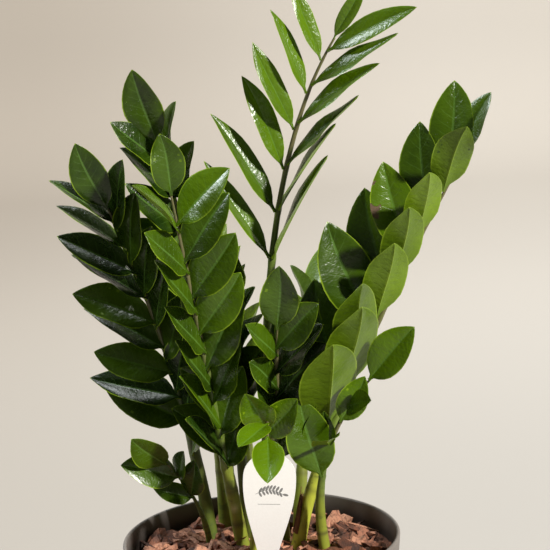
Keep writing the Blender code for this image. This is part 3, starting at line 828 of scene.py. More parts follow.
# ---- Finishes -----------------------------------------------------------------------------------
@dataclass(frozen=True)
class LeafFinish:
    """Waxy leaflets: dark and glossy above, lighter and duller below, with pale margins and veins.

    Attributes:
        upper_old_shaded: upper side of old leaflets, darkened further as painted shade; the next three
            go with it.
        margin: thin pale rim.
        vein: veins of the upper side.
        scar: dry brown patch.
        dust: small grey specks.
        vein_count: side veins on each half.
        vein_slant: how far a side vein runs towards the tip, as a share of the length.
        vein_wobble: unevenness of the side veins.
        vein_width: half width of a side vein, over the gap between two.
        midrib_edge: shares of the half width over which the midrib fades.
        upper_veins: how clearly side veins and midrib show above.
        under_veins: how clearly they show below.
        cloud_depth: change of youth over one leaflet.
        tone_depth: change of youth from one leaflet to the next.
        rim_show: how clearly the margin shows.
        dust_show: how clearly the specks show.
        upper_roughness: roughness above; the next is below.
        wax: weight of the wax coat.
        wax_roughness: the coat's roughness.
        gleam: specular level.
        bump: strength of the bumps; the next is their height.
    """

    upper_old_shaded: Triple = (0.010, 0.026, 0.002)
    upper_fresh: Triple = (0.094, 0.182, 0.001)
    under_old: Triple = (0.045, 0.090, 0.004)
    under_fresh: Triple = (0.205, 0.335, 0.001)
    margin: Triple = (0.270, 0.400, 0.020)
    vein: Triple = (0.130, 0.260, 0.050)
    scar: Triple = (0.120, 0.075, 0.040)
    dust: Triple = (0.300, 0.360, 0.280)
    vein_count: float = 9.0
    vein_slant: float = 0.17
    vein_wobble: float = 0.35
    vein_width: float = 0.09
    midrib_edge: Pair = (0.035, 0.075)
    upper_veins: Pair = (0.16, 0.42)
    under_veins: Pair = (0.10, 0.45)
    cloud_depth: float = 0.7
    tone_depth: float = 0.45
    rim_show: float = 0.75
    dust_show: float = 0.35
    upper_roughness: float = 0.27
    under_roughness: float = 0.46
    wax: float = 0.16
    wax_roughness: float = 0.20
    gleam: float = 0.38
    bump: float = 0.55
    relief: float = 0.0012

    def material(self) -> Material:
        """Builds the leaf material from the along, across, side, youth, tone and scar attributes."""
        paint = Paint("leaf_wax")
        place = paint.place()
        along, across, side = (paint.attribute(name) for name in ("along", "across", "side"))
        youth_and_shade, tone, scar = (paint.attribute(name) for name in ("youth_and_shade", "tone", "scar"))
        reach = paint.absolute(across)
        cloud = paint.noise(place, 38, 3)
        wobble = paint.times(paint.noise(place, 120, 2), self.vein_wobble)
        slant = paint.minus(along, paint.times(reach, self.vein_slant))
        beat = paint.maths("FRACT", paint.plus(paint.times(slant, self.vein_count), wobble))
        off = paint.absolute(paint.minus(beat, 0.5))
        inner = paint.span(reach, 0.85, 0.4, 0, 1)
        side_vein = paint.times(paint.span(off, 0.0, self.vein_width, 1, 0), inner)
        midrib = paint.span(reach, *self.midrib_edge, 1, 0)

        # Painted shade: a low youth value mixes in the darkened old colours on leaflets that stand in
        # shade.
        fresh = paint.plus(youth_and_shade, paint.times(paint.minus(cloud, 0.5), self.cloud_depth))
        fresh = paint.plus(fresh, paint.times(paint.minus(tone, 0.5), self.tone_depth), clamp=True)
        upper = paint.mix(fresh, self.upper_old_shaded, self.upper_fresh)
        upper = paint.mix(paint.times(side_vein, self.upper_veins[0]), upper, self.vein)
        upper = paint.mix(paint.times(midrib, self.upper_veins[1]), upper, self.vein)
        under = paint.mix(fresh, self.under_old, self.under_fresh)
        under = paint.mix(paint.times(side_vein, self.under_veins[0]), under, self.upper_fresh)
        under = paint.mix(paint.times(midrib, self.under_veins[1]), under, self.margin)
        is_upper = paint.span(side, -0.35, 0.35)
        skin = paint.mix(is_upper, under, upper)
        rim = paint.times(paint.span(paint.absolute(side), 0.15, 0.75, 1, 0), self.rim_show)
        skin = paint.mix(rim, skin, self.margin)
        specks = paint.times(paint.span(paint.cells(place, 420), 0.10, 0.16, 1, 0),
                             paint.span(paint.noise(place, 24, 2), 0.56, 0.66))
        skin = paint.mix(paint.times(specks, self.dust_show), skin, self.dust)
        where = paint.absolute(scar)
        near = paint.span(paint.absolute(paint.minus(along, where)), 0.05, 0.15, 0.22, 0)
        edge = paint.span(paint.times(across, paint.maths("SIGN", scar)), 0.25, 0.90, 0, 0.30)
        patch = paint.plus(paint.plus(near, edge), paint.noise(place, 110, 4))
        patch = paint.times(paint.span(patch, 0.88, 0.94), paint.span(where, 0.02, 0.05))
        skin = paint.mix(patch, skin, self.scar)

        streaks = paint.noise(paint.combine(paint.times(along, 14), paint.times(across, 2),
                                            paint.times(tone, 40)), 1.6, 2)
        rough = paint.span(is_upper, 0, 1, self.under_roughness, self.upper_roughness)
        rough = paint.plus(rough, paint.times(paint.minus(cloud, 0.5), 0.22))
        rough = paint.plus(rough, paint.times(patch, 0.4))
        height = paint.plus(paint.times(streaks, 0.9), paint.times(cloud, 0.5))
        height = paint.minus(height, paint.times(side_vein, 0.10))
        height = paint.plus(height, paint.times(patch, -0.5))
        paint.set(Base_Color=skin, Roughness=rough, Coat_Weight=self.wax,
                  Coat_Roughness=self.wax_roughness, Specular_IOR_Level=self.gleam)
        paint.bump(height, self.bump, self.relief)
        return paint.material


@dataclass(frozen=True)
class StalkFinish:
    """Fleshy stalks: yellow-green at the foot, greener above and brown between the upper leaflets; the
    old colours are darkened as painted shade for stalks that stand in shade.
    """

    # The two old colours are painted shade as well as old green.
    foot_old_shaded: Triple = (0.050, 0.085, 0.012)
    foot_fresh: Triple = (0.520, 0.560, 0.060)
    middle_old_shaded: Triple = (0.040, 0.070, 0.012)
    middle_fresh: Triple = (0.190, 0.270, 0.040)
    top: Triple = (0.150, 0.118, 0.058)
    fleck: Triple = (0.050, 0.080, 0.020)
    ring: Triple = (0.075, 0.062, 0.024)
    pale: Triple = (0.560, 0.560, 0.260)

    def material(self) -> Material:
        """Builds the stalk material from the along, youth, ring and pale attributes."""
        paint = Paint("stalk_skin")
        place = paint.place()
        along, youth_and_shade = paint.attribute("along"), paint.attribute("youth_and_shade")
        ring, pale = paint.attribute("ring"), paint.attribute("pale")
        long_noise = paint.noise(paint.stretch(place, (1, 1, 0.16)), 190, 3)
        blotch = paint.noise(paint.stretch(place, (1, 1, 1.8)), 75, 4)
        # Painted shade: a low youth value mixes in the old colours, darkened for stalks that stand in
        # shade.
        foot = paint.mix(youth_and_shade, self.foot_old_shaded, self.foot_fresh)
        middle = paint.mix(youth_and_shade, self.middle_old_shaded, self.middle_fresh)
        skin = paint.mix(paint.span(along, 0.14, 0.42), foot, middle)
        browned = paint.times(paint.span(along, 0.42, 0.72), paint.span(blotch, 0.2, 0.55, 0.30, 0.85))
        skin = paint.mix(browned, skin, self.top)
        flecks = paint.times(paint.span(blotch, 0.56, 0.66), 0.45)
        skin = paint.mix(flecks, skin, self.fleck)
        skin = paint.mix(paint.span(long_noise, 0.3, 0.8, 0.0, 0.22), skin, self.fleck)
        skin = paint.mix(paint.times(ring, 0.75), skin, self.ring)
        skin = paint.mix(pale, skin, self.pale)
        paint.set(Base_Color=skin, Roughness=paint.span(blotch, 0.3, 0.7, 0.34, 0.5), Coat_Weight=0.1,
                  Coat_Roughness=0.3)
        paint.bump(paint.plus(long_noise, paint.times(blotch, 0.6)), 0.4, 0.0006)
        return paint.material


@dataclass(frozen=True)
class BarkFinish:
    """Fibrous red-brown bark, with fresh pinkish breaks and dark weathered skin."""

    name: str = "bark_wood"
    dark: Triple = (0.045, 0.018, 0.011)
    red: Triple = (0.240, 0.085, 0.043)
    pink: Triple = (0.530, 0.255, 0.155)
    damp: float = 0.0

    def material(self) -> Material:
        """Builds the bark material; each chip's tone attribute shifts its colour."""
        paint = Paint(self.name)
        place = paint.place()
        tone = paint.attribute("tone")
        fibre = paint.noise(paint.stretch(place, (1.0, 0.35, 1.0)), 330, 4, 0.65)
        cloud = paint.noise(place, 85, 4)
        light = paint.plus(paint.times(tone, 0.75), paint.times(cloud, 0.6))
        light = paint.minus(light, 0.18 + self.damp)
        skin = paint.mix(paint.span(light, 0.08, 0.42), self.dark, self.red)
        skin = paint.mix(paint.span(light, 0.44, 0.88), skin, self.pink)
        skin = paint.mix(paint.span(fibre, 0.56, 0.34, 0.0, 0.6), skin, self.dark)
        paint.set(Base_Color=skin, Roughness=paint.span(cloud, 0.3, 0.7, 0.72, 0.95))
        paint.bump(paint.plus(fibre, paint.times(cloud, 0.6)), 0.9, 0.0016)
        return paint.material


@dataclass(frozen=True)
class PotFinish:
    """Satin moulded pot: taupe outside, with scuffs near the foot, and a darker brown inside that is
    painted shade.
    """

    outside: Triple = (0.150, 0.128, 0.112)
    # Painted shade: the colour of the inner wall, dark for the shade inside the pot.
    inside: Triple = (0.030, 0.023, 0.019)
    worn: Triple = (0.260, 0.235, 0.212)

    def material(self) -> Material:
        """Builds the pot material from its inner and edge attributes."""
        paint = Paint("pot_satin")
        place = paint.place()
        inner, edge = paint.attribute("inner"), paint.attribute("edge")
        grain = paint.noise(place, 900, 2)
        cloud = paint.noise(place, 14, 4)
        scuff = paint.noise(paint.stretch(place, (1, 1, 9)), 45, 5, 0.7)
        outside = paint.mix(paint.span(cloud, 0.25, 0.75, 0.0, 0.16), self.outside, self.worn)
        # Painted shade: the inner wall takes the darker inside colour.
        skin = paint.mix(inner, outside, self.inside)
        marks = paint.times(paint.span(scuff, 0.66, 0.74), 0.35)
        skin = paint.mix(marks, skin, self.worn)
        skin = paint.mix(paint.times(edge, paint.span(cloud, 0.2, 0.8, 0.25, 0.6)), skin, self.worn)
        rough = paint.plus(paint.span(cloud, 0.2, 0.8, 0.40, 0.54), paint.times(marks, 0.4))
        paint.set(Base_Color=skin, Roughness=rough)
        paint.bump(paint.plus(grain, paint.times(cloud, 0.5)), 0.22, 0.0004)
        return paint.material


@dataclass(frozen=True)
class MottledFinish:
    """A dull surface of two colours in soft clouds, for soil, rhizomes, card, ink and husks.

    Attributes:
        name: name of the finish.
        first: colour of the darker clouds.
        second: colour of the lighter clouds.
        scale: how fine the clouds are.
        rough: middle of the roughness.
        relief: height of the bump.
        stretch: factors that draw the clouds out.
    """

    name: str
    first: Triple
    second: Triple
    scale: float
    rough: float
    relief: float
    stretch: Triple = (1.0, 1.0, 1.0)

    def material(self) -> Material:
        """Builds the mottled material."""
        paint = Paint(self.name)
        place = paint.stretch(paint.place(), self.stretch)
        cloud = paint.noise(place, self.scale, 5, 0.6)
        fine = paint.noise(place, self.scale * 7, 3)
        both = paint.plus(paint.times(cloud, 0.7), paint.times(fine, 0.3))
        skin = paint.mix(paint.span(both, 0.35, 0.65), self.first, self.second)
        rough = paint.span(both, 0.3, 0.7, self.rough - 0.06, self.rough + 0.04)
        paint.set(Base_Color=skin, Roughness=rough)
        paint.bump(both, 0.5, self.relief)
        return paint.material


SOIL = MottledFinish("potting_soil", (0.018, 0.011, 0.007), (0.080, 0.050, 0.032), 260, 0.93, 0.0020)
RHIZOME = MottledFinish("rhizome_skin", (0.230, 0.150, 0.070), (0.560, 0.430, 0.250), 120, 0.72, 0.0012)
CARD = MottledFinish("card_white", (0.910, 0.895, 0.865), (0.940, 0.930, 0.905), 700, 0.62, 0.0001)
INK = MottledFinish("ink_grey", (0.180, 0.180, 0.175), (0.240, 0.240, 0.235), 900, 0.55, 0.00004)
HUSK = MottledFinish("dry_husk", (0.070, 0.022, 0.012), (0.260, 0.110, 0.055), 160, 0.80, 0.0009,
                     (1, 1, 0.2))


@dataclass(frozen=True)
class BackdropFinish:
    """Matt backdrop paper with painted light: painted brighter towards its right side, with painted
    shade on the floor near the plant and on the wall above.

    Attributes:
        left: colour at the left, darkened as painted shade.
        right: colour at the right, lightened as painted light.
        reach: distance from the middle at which each is reached.
        near: distance behind the plant where the painted shade on the floor ends.
        far: distance at which the paper has its full brightness.
        rise: height over which painted shade dims the wall.
        floor_shade: brightness of the near floor.
        wall_shade: brightness of the wall.
    """

    left: Triple = (0.455, 0.412, 0.360)
    right: Triple = (0.625, 0.590, 0.540)
    reach: float = 0.65
    near: float = 0.6
    far: float = 2.1
    rise: float = 0.30
    floor_shade: float = 0.80
    wall_shade: float = 0.87

    def material(self) -> Material:
        """Builds the backdrop material from object coordinates."""
        paint = Paint("backdrop_paper")
        x, y, z = paint.split(paint.place())
        # Painted light: the colour brightens from left to right, and painted shade dims the near floor
        # and the wall.
        skin = paint.mix(paint.span(x, -self.reach, self.reach), self.left, self.right)
        shade = paint.times(paint.span(y, self.near, self.far, self.floor_shade, 1.0),
                            paint.span(z, 0.0, self.rise, 1.0, self.wall_shade))
        skin = paint.mix(shade, (0.0, 0.0, 0.0), skin)
        paint.set(Base_Color=skin, Roughness=0.95, Specular_IOR_Level=0.1)
        return paint.material


# ---- Pot and bark -------------------------------------------------------------------------------
@dataclass(frozen=True)
class Pot:
    """The round pot, with a rolled lip, a softened foot and a ring to stand on."""

    base_radius: float = 0.106
    wall: float = 0.0035
    floor: float = 0.005
    foot_round: float = 0.003
    ring_width: float = 0.010
    ring_height: float = 0.0012
    sides: int = 144
    wall_rows: int = 14

    def outer_radius(self, z: float) -> float:
        """The outer radius at a height."""
        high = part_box("pot")[1]
        return self.base_radius + (high.x - self.base_radius) * z / high.z

    def profile(self) -> list[tuple[float, float, float, float]]:
        """Radius, height, inner and edge values, from the base's middle round to the floor's middle."""
        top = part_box("pot")[1].z
        low_ring = self.base_radius - self.foot_round - self.ring_width
        points = [(low_ring - 0.002, self.ring_height, 0, 0), (low_ring, 0, 0, 0.3)]
        for step in range(5):
            turn = math.pi / 2 * step / 4
            radius = self.base_radius - self.foot_round * (1 - math.sin(turn))
            points.append((radius, self.foot_round * (1 - math.cos(turn)), 0, 0.8))
        lip = self.wall / 2
        for step in range(1, self.wall_rows):
            z = self.foot_round + (top - lip - self.foot_round) * step / self.wall_rows
            points.append((self.outer_radius(z), z, 0, 0))
        middle = self.outer_radius(top) - lip
        for step in range(9):
            turn = math.pi * step / 8
            inner = 0.0 if step < 5 else 1.0
            points.append((middle + lip * math.cos(turn), top - lip + lip * math.sin(turn), inner, 1))
        for step in range(self.wall_rows - 1, 0, -1):
            z = self.floor + (top - lip - self.floor) * step / self.wall_rows
            points.append((self.outer_radius(z) - self.wall, z, 1, 0))
        points.append((self.outer_radius(self.floor) - self.wall - 0.002, self.floor, 1, 0))
        return points

    def build(self) -> Piece:
        """Turns the profile into the pot piece."""
        shape = bmesh.new()
        layers = [shape.verts.layers.float.new(name) for name in ("inner", "edge")]
        profile = self.profile()
        rings = [circle(radius, z, self.sides) for radius, z, _, _ in profile]
        under, inside = Vector((0, 0, self.ring_height)), Vector((0, 0, self.floor))
        loops = bridge_rings(shape, rings, first=under, last=inside)
        for loop, (_, _, inner, edge) in zip(loops, profile):
            for vertex in loop:
                vertex[layers[0]] = inner
                vertex[layers[1]] = edge
        return settle(to_object("pot_body", shape, [PotFinish().material()]), "pot", "pot")


@dataclass(frozen=True)
class BarkMulch:
    """The bark: a rough dark bed, a jumble of chips and splinters on it, and larger loose chips.

    Attributes:
        chip_gap: least distance between the middles of two scattered chips.
        most_chips: scattered chips in a square metre before the gap thins them.
        sink: how far the lowest scattered chips go into the bed.
        heap: how far the highest stand above it.
        tilt: most that a scattered chip leans, in radians.
        chip_shapes: length, breadth and thickness of each kind of scattered chip, over its size.
        loose_chips: number of larger chips with a CAD node each.
        groove_pitch: radians of the larger chips' grooves in a metre across them.
    """

    bed_rings: int = 34
    bed_sides: int = 96
    bed_relief: float = 0.0022
    bed_inset: float = 0.002
    bed_drop: float = 0.001
    bed_tone: Pair = (0.0, 0.35)
    ground_rings: int = 44
    ground_sides: int = 110
    wall_gap: float = 0.0006
    chip_gap: float = 0.0080
    chip_smallest: float = 0.014
    chip_largest: float = 0.040
    most_chips: float = 60000.0
    sink: float = 0.0005
    heap: float = 0.0048
    rim_room: float = 0.011
    stalk_room: float = 0.010
    tag_room: Pair = (0.017, 0.007)
    tilt: float = 0.55
    chip_shapes: tuple[Triple, ...] = (
        (1.0, 0.62, 0.26), (1.0, 0.48, 0.20), (0.9, 0.70, 0.30), (1.0, 0.40, 0.24),
        (0.8, 0.55, 0.34), (1.1, 0.34, 0.16), (1.25, 0.13, 0.09), (1.35, 0.10, 0.07),
    )
    loose_chips: int = 9
    loose_corners: int = 26
    loose_rise: float = 0.0012
    loose_pull: Pair = (0.75, 1.02)
    loose_tone: Pair = (0.35, 1.0)
    groove_pitch: float = 2100
    groove_depth: float = 0.00025
    seed: int = 11

    def _inner_radius(self) -> float:
        """The bed's radius, just inside the pot's wall."""
        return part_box("bark_mulch")[1].x - self.wall_gap

    def _bed(self, finish: Material) -> Piece:
        """The bed as a closed low drum with a crumbly top."""
        chance = random.Random(self.seed)
        low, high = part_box("bark_mulch")
        top = SIZES.bark_top()
        shape = bmesh.new()
        tone = shape.verts.layers.float.new("tone")
        rings = [circle(self._inner_radius() - self.bed_inset, low.z, self.bed_sides)]
        for step in range(self.bed_rings, 0, -1):
            radius = self._inner_radius() * step / self.bed_rings
            ring = circle(radius, top - self.bed_drop, self.bed_sides)
            for point in ring:
                point.z += chance.uniform(-1, 1) * self.bed_relief
            rings.append(ring)
        bridge_rings(shape, rings, first=Vector((0, 0, low.z)), last=Vector((0, 0, top)))
        for vertex in shape.verts:
            vertex[tone] = chance.uniform(*self.bed_tone)
        return to_object("bed", shape, [finish])

    def _ground(self) -> Piece:
        """A disc that carries the chance for a chip: none at the wall, the stalks and the tag."""
        shape = bmesh.new()
        reach = self._inner_radius() - self.rim_room
        room = shape.verts.layers.float.new("room")
        rings = [
            circle(reach * step / self.ground_rings, SIZES.bark_top(), self.ground_sides)
            for step in range(self.ground_rings, 0, -1)
        ]
        shape.faces.new(weave(shape, rings)[-1])
        feet = [Vector(frond.foot) for frond in FRONDS]
        tag = Vector(CardTag().place)
        for vertex in shape.verts:
            spot = vertex.co.xy
            near_stalk = min((spot - foot).length for foot in feet) < self.stalk_room
            near_tag = all(abs(gap) < most for gap, most in zip(spot - tag, self.tag_room))
            vertex[room] = 0.0 if near_stalk or near_tag else 1.0
        return to_object("ground", shape, [], outward=False)

    @staticmethod
    def chip_block(name: str, chance: random.Random, long: float, broad: float, thick: float,
                   corners: int = 15) -> Piece:
        """A broken chip of bark: the hull of random corners, flattened along its grain.

        Args:
            name: object name.
            chance: source of random numbers.
            long: length along the grain.
            broad: breadth.
            thick: thickness.
            corners: corner count.

        Returns:
            The chip, centred on the origin.
        """
        shape = bmesh.new()
        for _ in range(corners):
            x = chance.uniform(-1, 1)
            taper = 1 - 0.55 * abs(x) ** 3
            y = chance.choice((-1, 1)) * chance.uniform(0.5, 1.0) * taper
            z = chance.choice((-1, 1)) * chance.uniform(0.55, 1.0) * (1 - 0.3 * abs(y))
            shape.verts.new((x * long / 2, y * broad / 2, z * thick / 2))
        keep_hull(shape)
        return to_object(name, shape, [], sharp=math.radians(28))

    def _tree(self, names: Sequence[str]) -> Scatter:
        """The Geometry Nodes tree that strews chips over the ground."""
        tree = Scatter("bark_scatter")
        for name in names:
            tree.ask(name, "Object")
        for name in ("Gap", "Smallest", "Largest", "Tilt"):
            tree.ask(name, "Float")
        tree.ask("Seed", "Int")
        tree.ask("Finish", "Material")
        get = tree.entry.outputs
        strewn = tree.node("GeometryNodeDistributePointsOnFaces", {
            "Mesh": get["Geometry"], "Distance Min": get["Gap"], "Density Max": self.most_chips,
            "Density Factor": tree.stored("room", "FLOAT"), "Seed": get["Seed"],
        }, distribute_method="POISSON")
        down = tree.node("ShaderNodeMath", operation="MULTIPLY")
        tree.group.links.new(get["Tilt"], down.inputs[0])
        down.inputs[1].default_value = -1.0
        low = tree.node("ShaderNodeCombineXYZ", {"X": down.outputs[0], "Y": down.outputs[0], "Z": 0.0})
        high = tree.node("ShaderNodeCombineXYZ", {"X": get["Tilt"], "Y": get["Tilt"], "Z": 2 * math.pi})
        turn = tree.chance("FLOAT_VECTOR", low.outputs[0], high.outputs[0], get["Seed"])
        size = tree.chance("FLOAT", get["Smallest"], get["Largest"], get["Seed"])
        sunk, heaped = Vector((0, 0, -self.sink)), Vector((0, 0, self.heap))
        lift = tree.chance("FLOAT_VECTOR", sunk, heaped, get["Seed"])
        points = strewn.outputs["Points"]
        raised = tree.node("GeometryNodeSetPosition", {"Geometry": points, "Offset": lift})
        as_turn = tree.node("FunctionNodeEulerToRotation", {"Euler": turn})
        placed = tree.node("GeometryNodeInstanceOnPoints", {
            "Points": raised.outputs[0], "Instance": tree.gather(names), "Pick Instance": True,
            "Rotation": as_turn.outputs[0], "Scale": size,
        })
        kept = tree.node("GeometryNodeStoreNamedAttribute", {
            "Geometry": placed.outputs[0], "Name": "tone", "Value": tree.chance("FLOAT", 0.0, 1.0),
        }, data_type="FLOAT", domain="INSTANCE")
        tree.end(kept.outputs[0])
        return tree

    def build(self) -> None:
        """Builds the bed with its scattered chips, then the larger loose chips."""
        finish = BarkFinish().material()
        chance = random.Random(self.seed)
        names = [f"Chip {number}" for number in range(1, len(self.chip_shapes) + 1)]
        chips = [self.chip_block(name, chance, *shape) for name, shape in zip(names, self.chip_shapes)]
        inputs = dict(zip(names, chips))
        inputs |= {"Gap": self.chip_gap, "Smallest": self.chip_smallest, "Largest": self.chip_largest,
                   "Tilt": self.tilt, "Seed": self.seed, "Finish": finish}
        strewn = self._tree(names).run("bark_strewn", self._ground(), inputs)
        for chip in chips:
            bpy.data.objects.remove(chip)
        bed = join_meshes("bark_bed", [self._bed(finish), strewn])
        settle(bed, "bark", "bark_mulch")
        for number in range(1, self.loose_chips + 1):
            self._loose_chip(number, chance, finish)

    def _loose_chip(self, number: int, chance: random.Random, finish: Material) -> None:
        """One larger chip in the room of its CAD solid, with a split and frayed surface."""
        node = f"bark_chip_{number:02d}"
        low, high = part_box(node)
        points = [vertex.co.copy() for vertex in bpy.data.objects[node].data.vertices]
        middle = sum(points, Vector()) / len(points)
        spread = [(point - middle).xy for point in points]
        along = max(spread, key=lambda offset: offset.length).normalized()
        shape = bmesh.new()
        for point in points:
            shape.verts.new(point)
        for _ in range(self.loose_corners):
            base = chance.choice(points)
            pull = middle + (base - middle) * chance.uniform(*self.loose_pull)
            shape.verts.new((pull.x, pull.y, chance.uniform(low.z, high.z + self.loose_rise)))
        keep_hull(shape)
        bmesh.ops.subdivide_edges(shape, edges=shape.edges, cuts=2, use_grid_fill=True)
        tone = shape.verts.layers.float.new("tone")
        value = chance.uniform(*self.loose_tone)
        for vertex in shape.verts:
            across = vertex.co.xy.dot(Vector((-along.y, along.x)))
            groove = self.groove_depth * math.sin(across * self.groove_pitch + number)
            vertex.co.z = max(vertex.co.z + groove, low.z)
            vertex[tone] = value
        settle(to_object(f"chip_{number:02d}", shape, [finish], sharp=math.radians(24)), "bark", node)


def join_meshes(name: str, parts: Sequence[Piece]) -> Piece:
    """Joins plain mesh objects that share their first material into one.

    Args:
        name: the new object's name.
        parts: objects to join, which are removed.

    Returns:
        The joined object.
    """
    shape = bmesh.new()
    for part in parts:
        shape.from_mesh(part.data)
    mesh = bpy.data.meshes.new(name)
    shape.to_mesh(mesh)
    shape.free()
    mesh.materials.append(parts[0].data.materials[0])
    for part in parts:
        bpy.data.objects.remove(part)
    return add_object(name, mesh)


# ---- Fronds -------------------------------------------------------------------------------------
@dataclass(frozen=True)
class Blade:
    """A leaflet of unit length along X, folded along its midrib, with its upper side up.

    Attributes:
        slim: full width over length.
        wave: height of the margin's wave, as a share of the half width.
        twist: turn of the tip against the root.
        lean: sideways sweep of the tip, as a share of the length.
        thickness: thickness of the grown blade.
        neck_thickness: thickness at the neck.
        neck_end: share of the length where the neck has become blade.
        centre_slope: slope of the fold beside the midrib.
        slope_loss: how much flatter it is at the margin.
        wave_turns: radians of the margin's wave along the blade.
        wave_shift: radians by which one margin's wave leads the other's.
        margin_thinning: loss of thickness at the margin.
        groove: depth of the midrib's groove above, over the thickness.
        ridge: depth of its ridge below, over the thickness.
    """

    slim: float
    wave: float
    twist: float
    lean: float
    thickness: float = 0.010
    neck_thickness: float = 0.030
    neck_end: float = 0.12
    centre_slope: float = 0.33
    slope_loss: float = 0.10
    wave_turns: float = 11
    wave_shift: float = 2.1
    margin_thinning: float = 0.55
    groove: float = 0.25
    ridge: float = 0.55

    STATIONS = (
        (0.0, 0.085), (0.03, 0.085), (0.07, 0.16), (0.12, 0.42), (0.19, 0.68), (0.28, 0.89),
        (0.38, 0.99), (0.48, 1.03), (0.58, 1.0), (0.68, 0.90), (0.77, 0.75), (0.85, 0.56),
        (0.92, 0.34), (0.965, 0.17),
    )
    ACROSS = (-0.9, -0.55, -0.1, 0.0, 0.1, 0.55, 0.9)

    def _point(self, share: float, broad: float, across: float, face: int) -> Vector:
        """A point of the blade's skin.

        Args:
            share: share of the length.
            broad: share of the half width there.
            across: -1 at one margin to 1 at the other.
            face: 1 on the upper side, -1 below and 0 on a margin.

        Returns:
            The point.
        """
        half = self.slim / 2 * broad
        off = abs(across)
        grown = min(share / self.neck_end, 1.0)
        thick = self.neck_thickness + (self.thickness - self.neck_thickness) * grown
        rise = half * (self.centre_slope * off - self.slope_loss * off * off) * grown
        shift = self.wave_shift if across > 0 else 0.0
        rise += half * self.wave * math.sin(share * self.wave_turns + shift) * off**3
        rise += face * thick / 2 * (1 - self.margin_thinning * off * grown)
        if across == 0:
            rise -= self.thickness * (self.groove if face > 0 else self.ridge) * grown
        point = Vector((0, half * across, rise))
        point = Matrix.Rotation(self.twist * share, 3, "X") @ point
        bow = SIZES.leaflet_bow * (share * share - SIZES.bow_start * share)
        return point + Vector((share, self.lean * share * share * (1 - share) * 2, -bow))

    def build(self, name: str) -> Piece:
        """Makes the blade object, with along, across and side attributes."""
        shape = bmesh.new()
        layers = [shape.verts.layers.float.new(key) for key in ("along", "across", "side")]
        upper = [(across, 1) for across in self.ACROSS]
        under = [(across, -1) for across in reversed(self.ACROSS)]
        marks = [(-1.0, 0), *upper, (1.0, 0), *under]
        rings = [[self._point(*station, *mark) for mark in marks] for station in self.STATIONS]
        tip = Vector((1, 0, -SIZES.leaflet_bow * (1 - SIZES.bow_start)))
        loops = bridge_rings(shape, rings, last=tip)
        for loop, (share, _) in zip(loops, self.STATIONS):
            for vertex, (across, face) in zip(loop, marks):
                for layer, value in zip(layers, (share, across, face)):
                    vertex[layer] = value
        shape.verts.ensure_lookup_table()
        shape.verts[-1][layers[0]] = 1.0
        return to_object(name, shape, [])


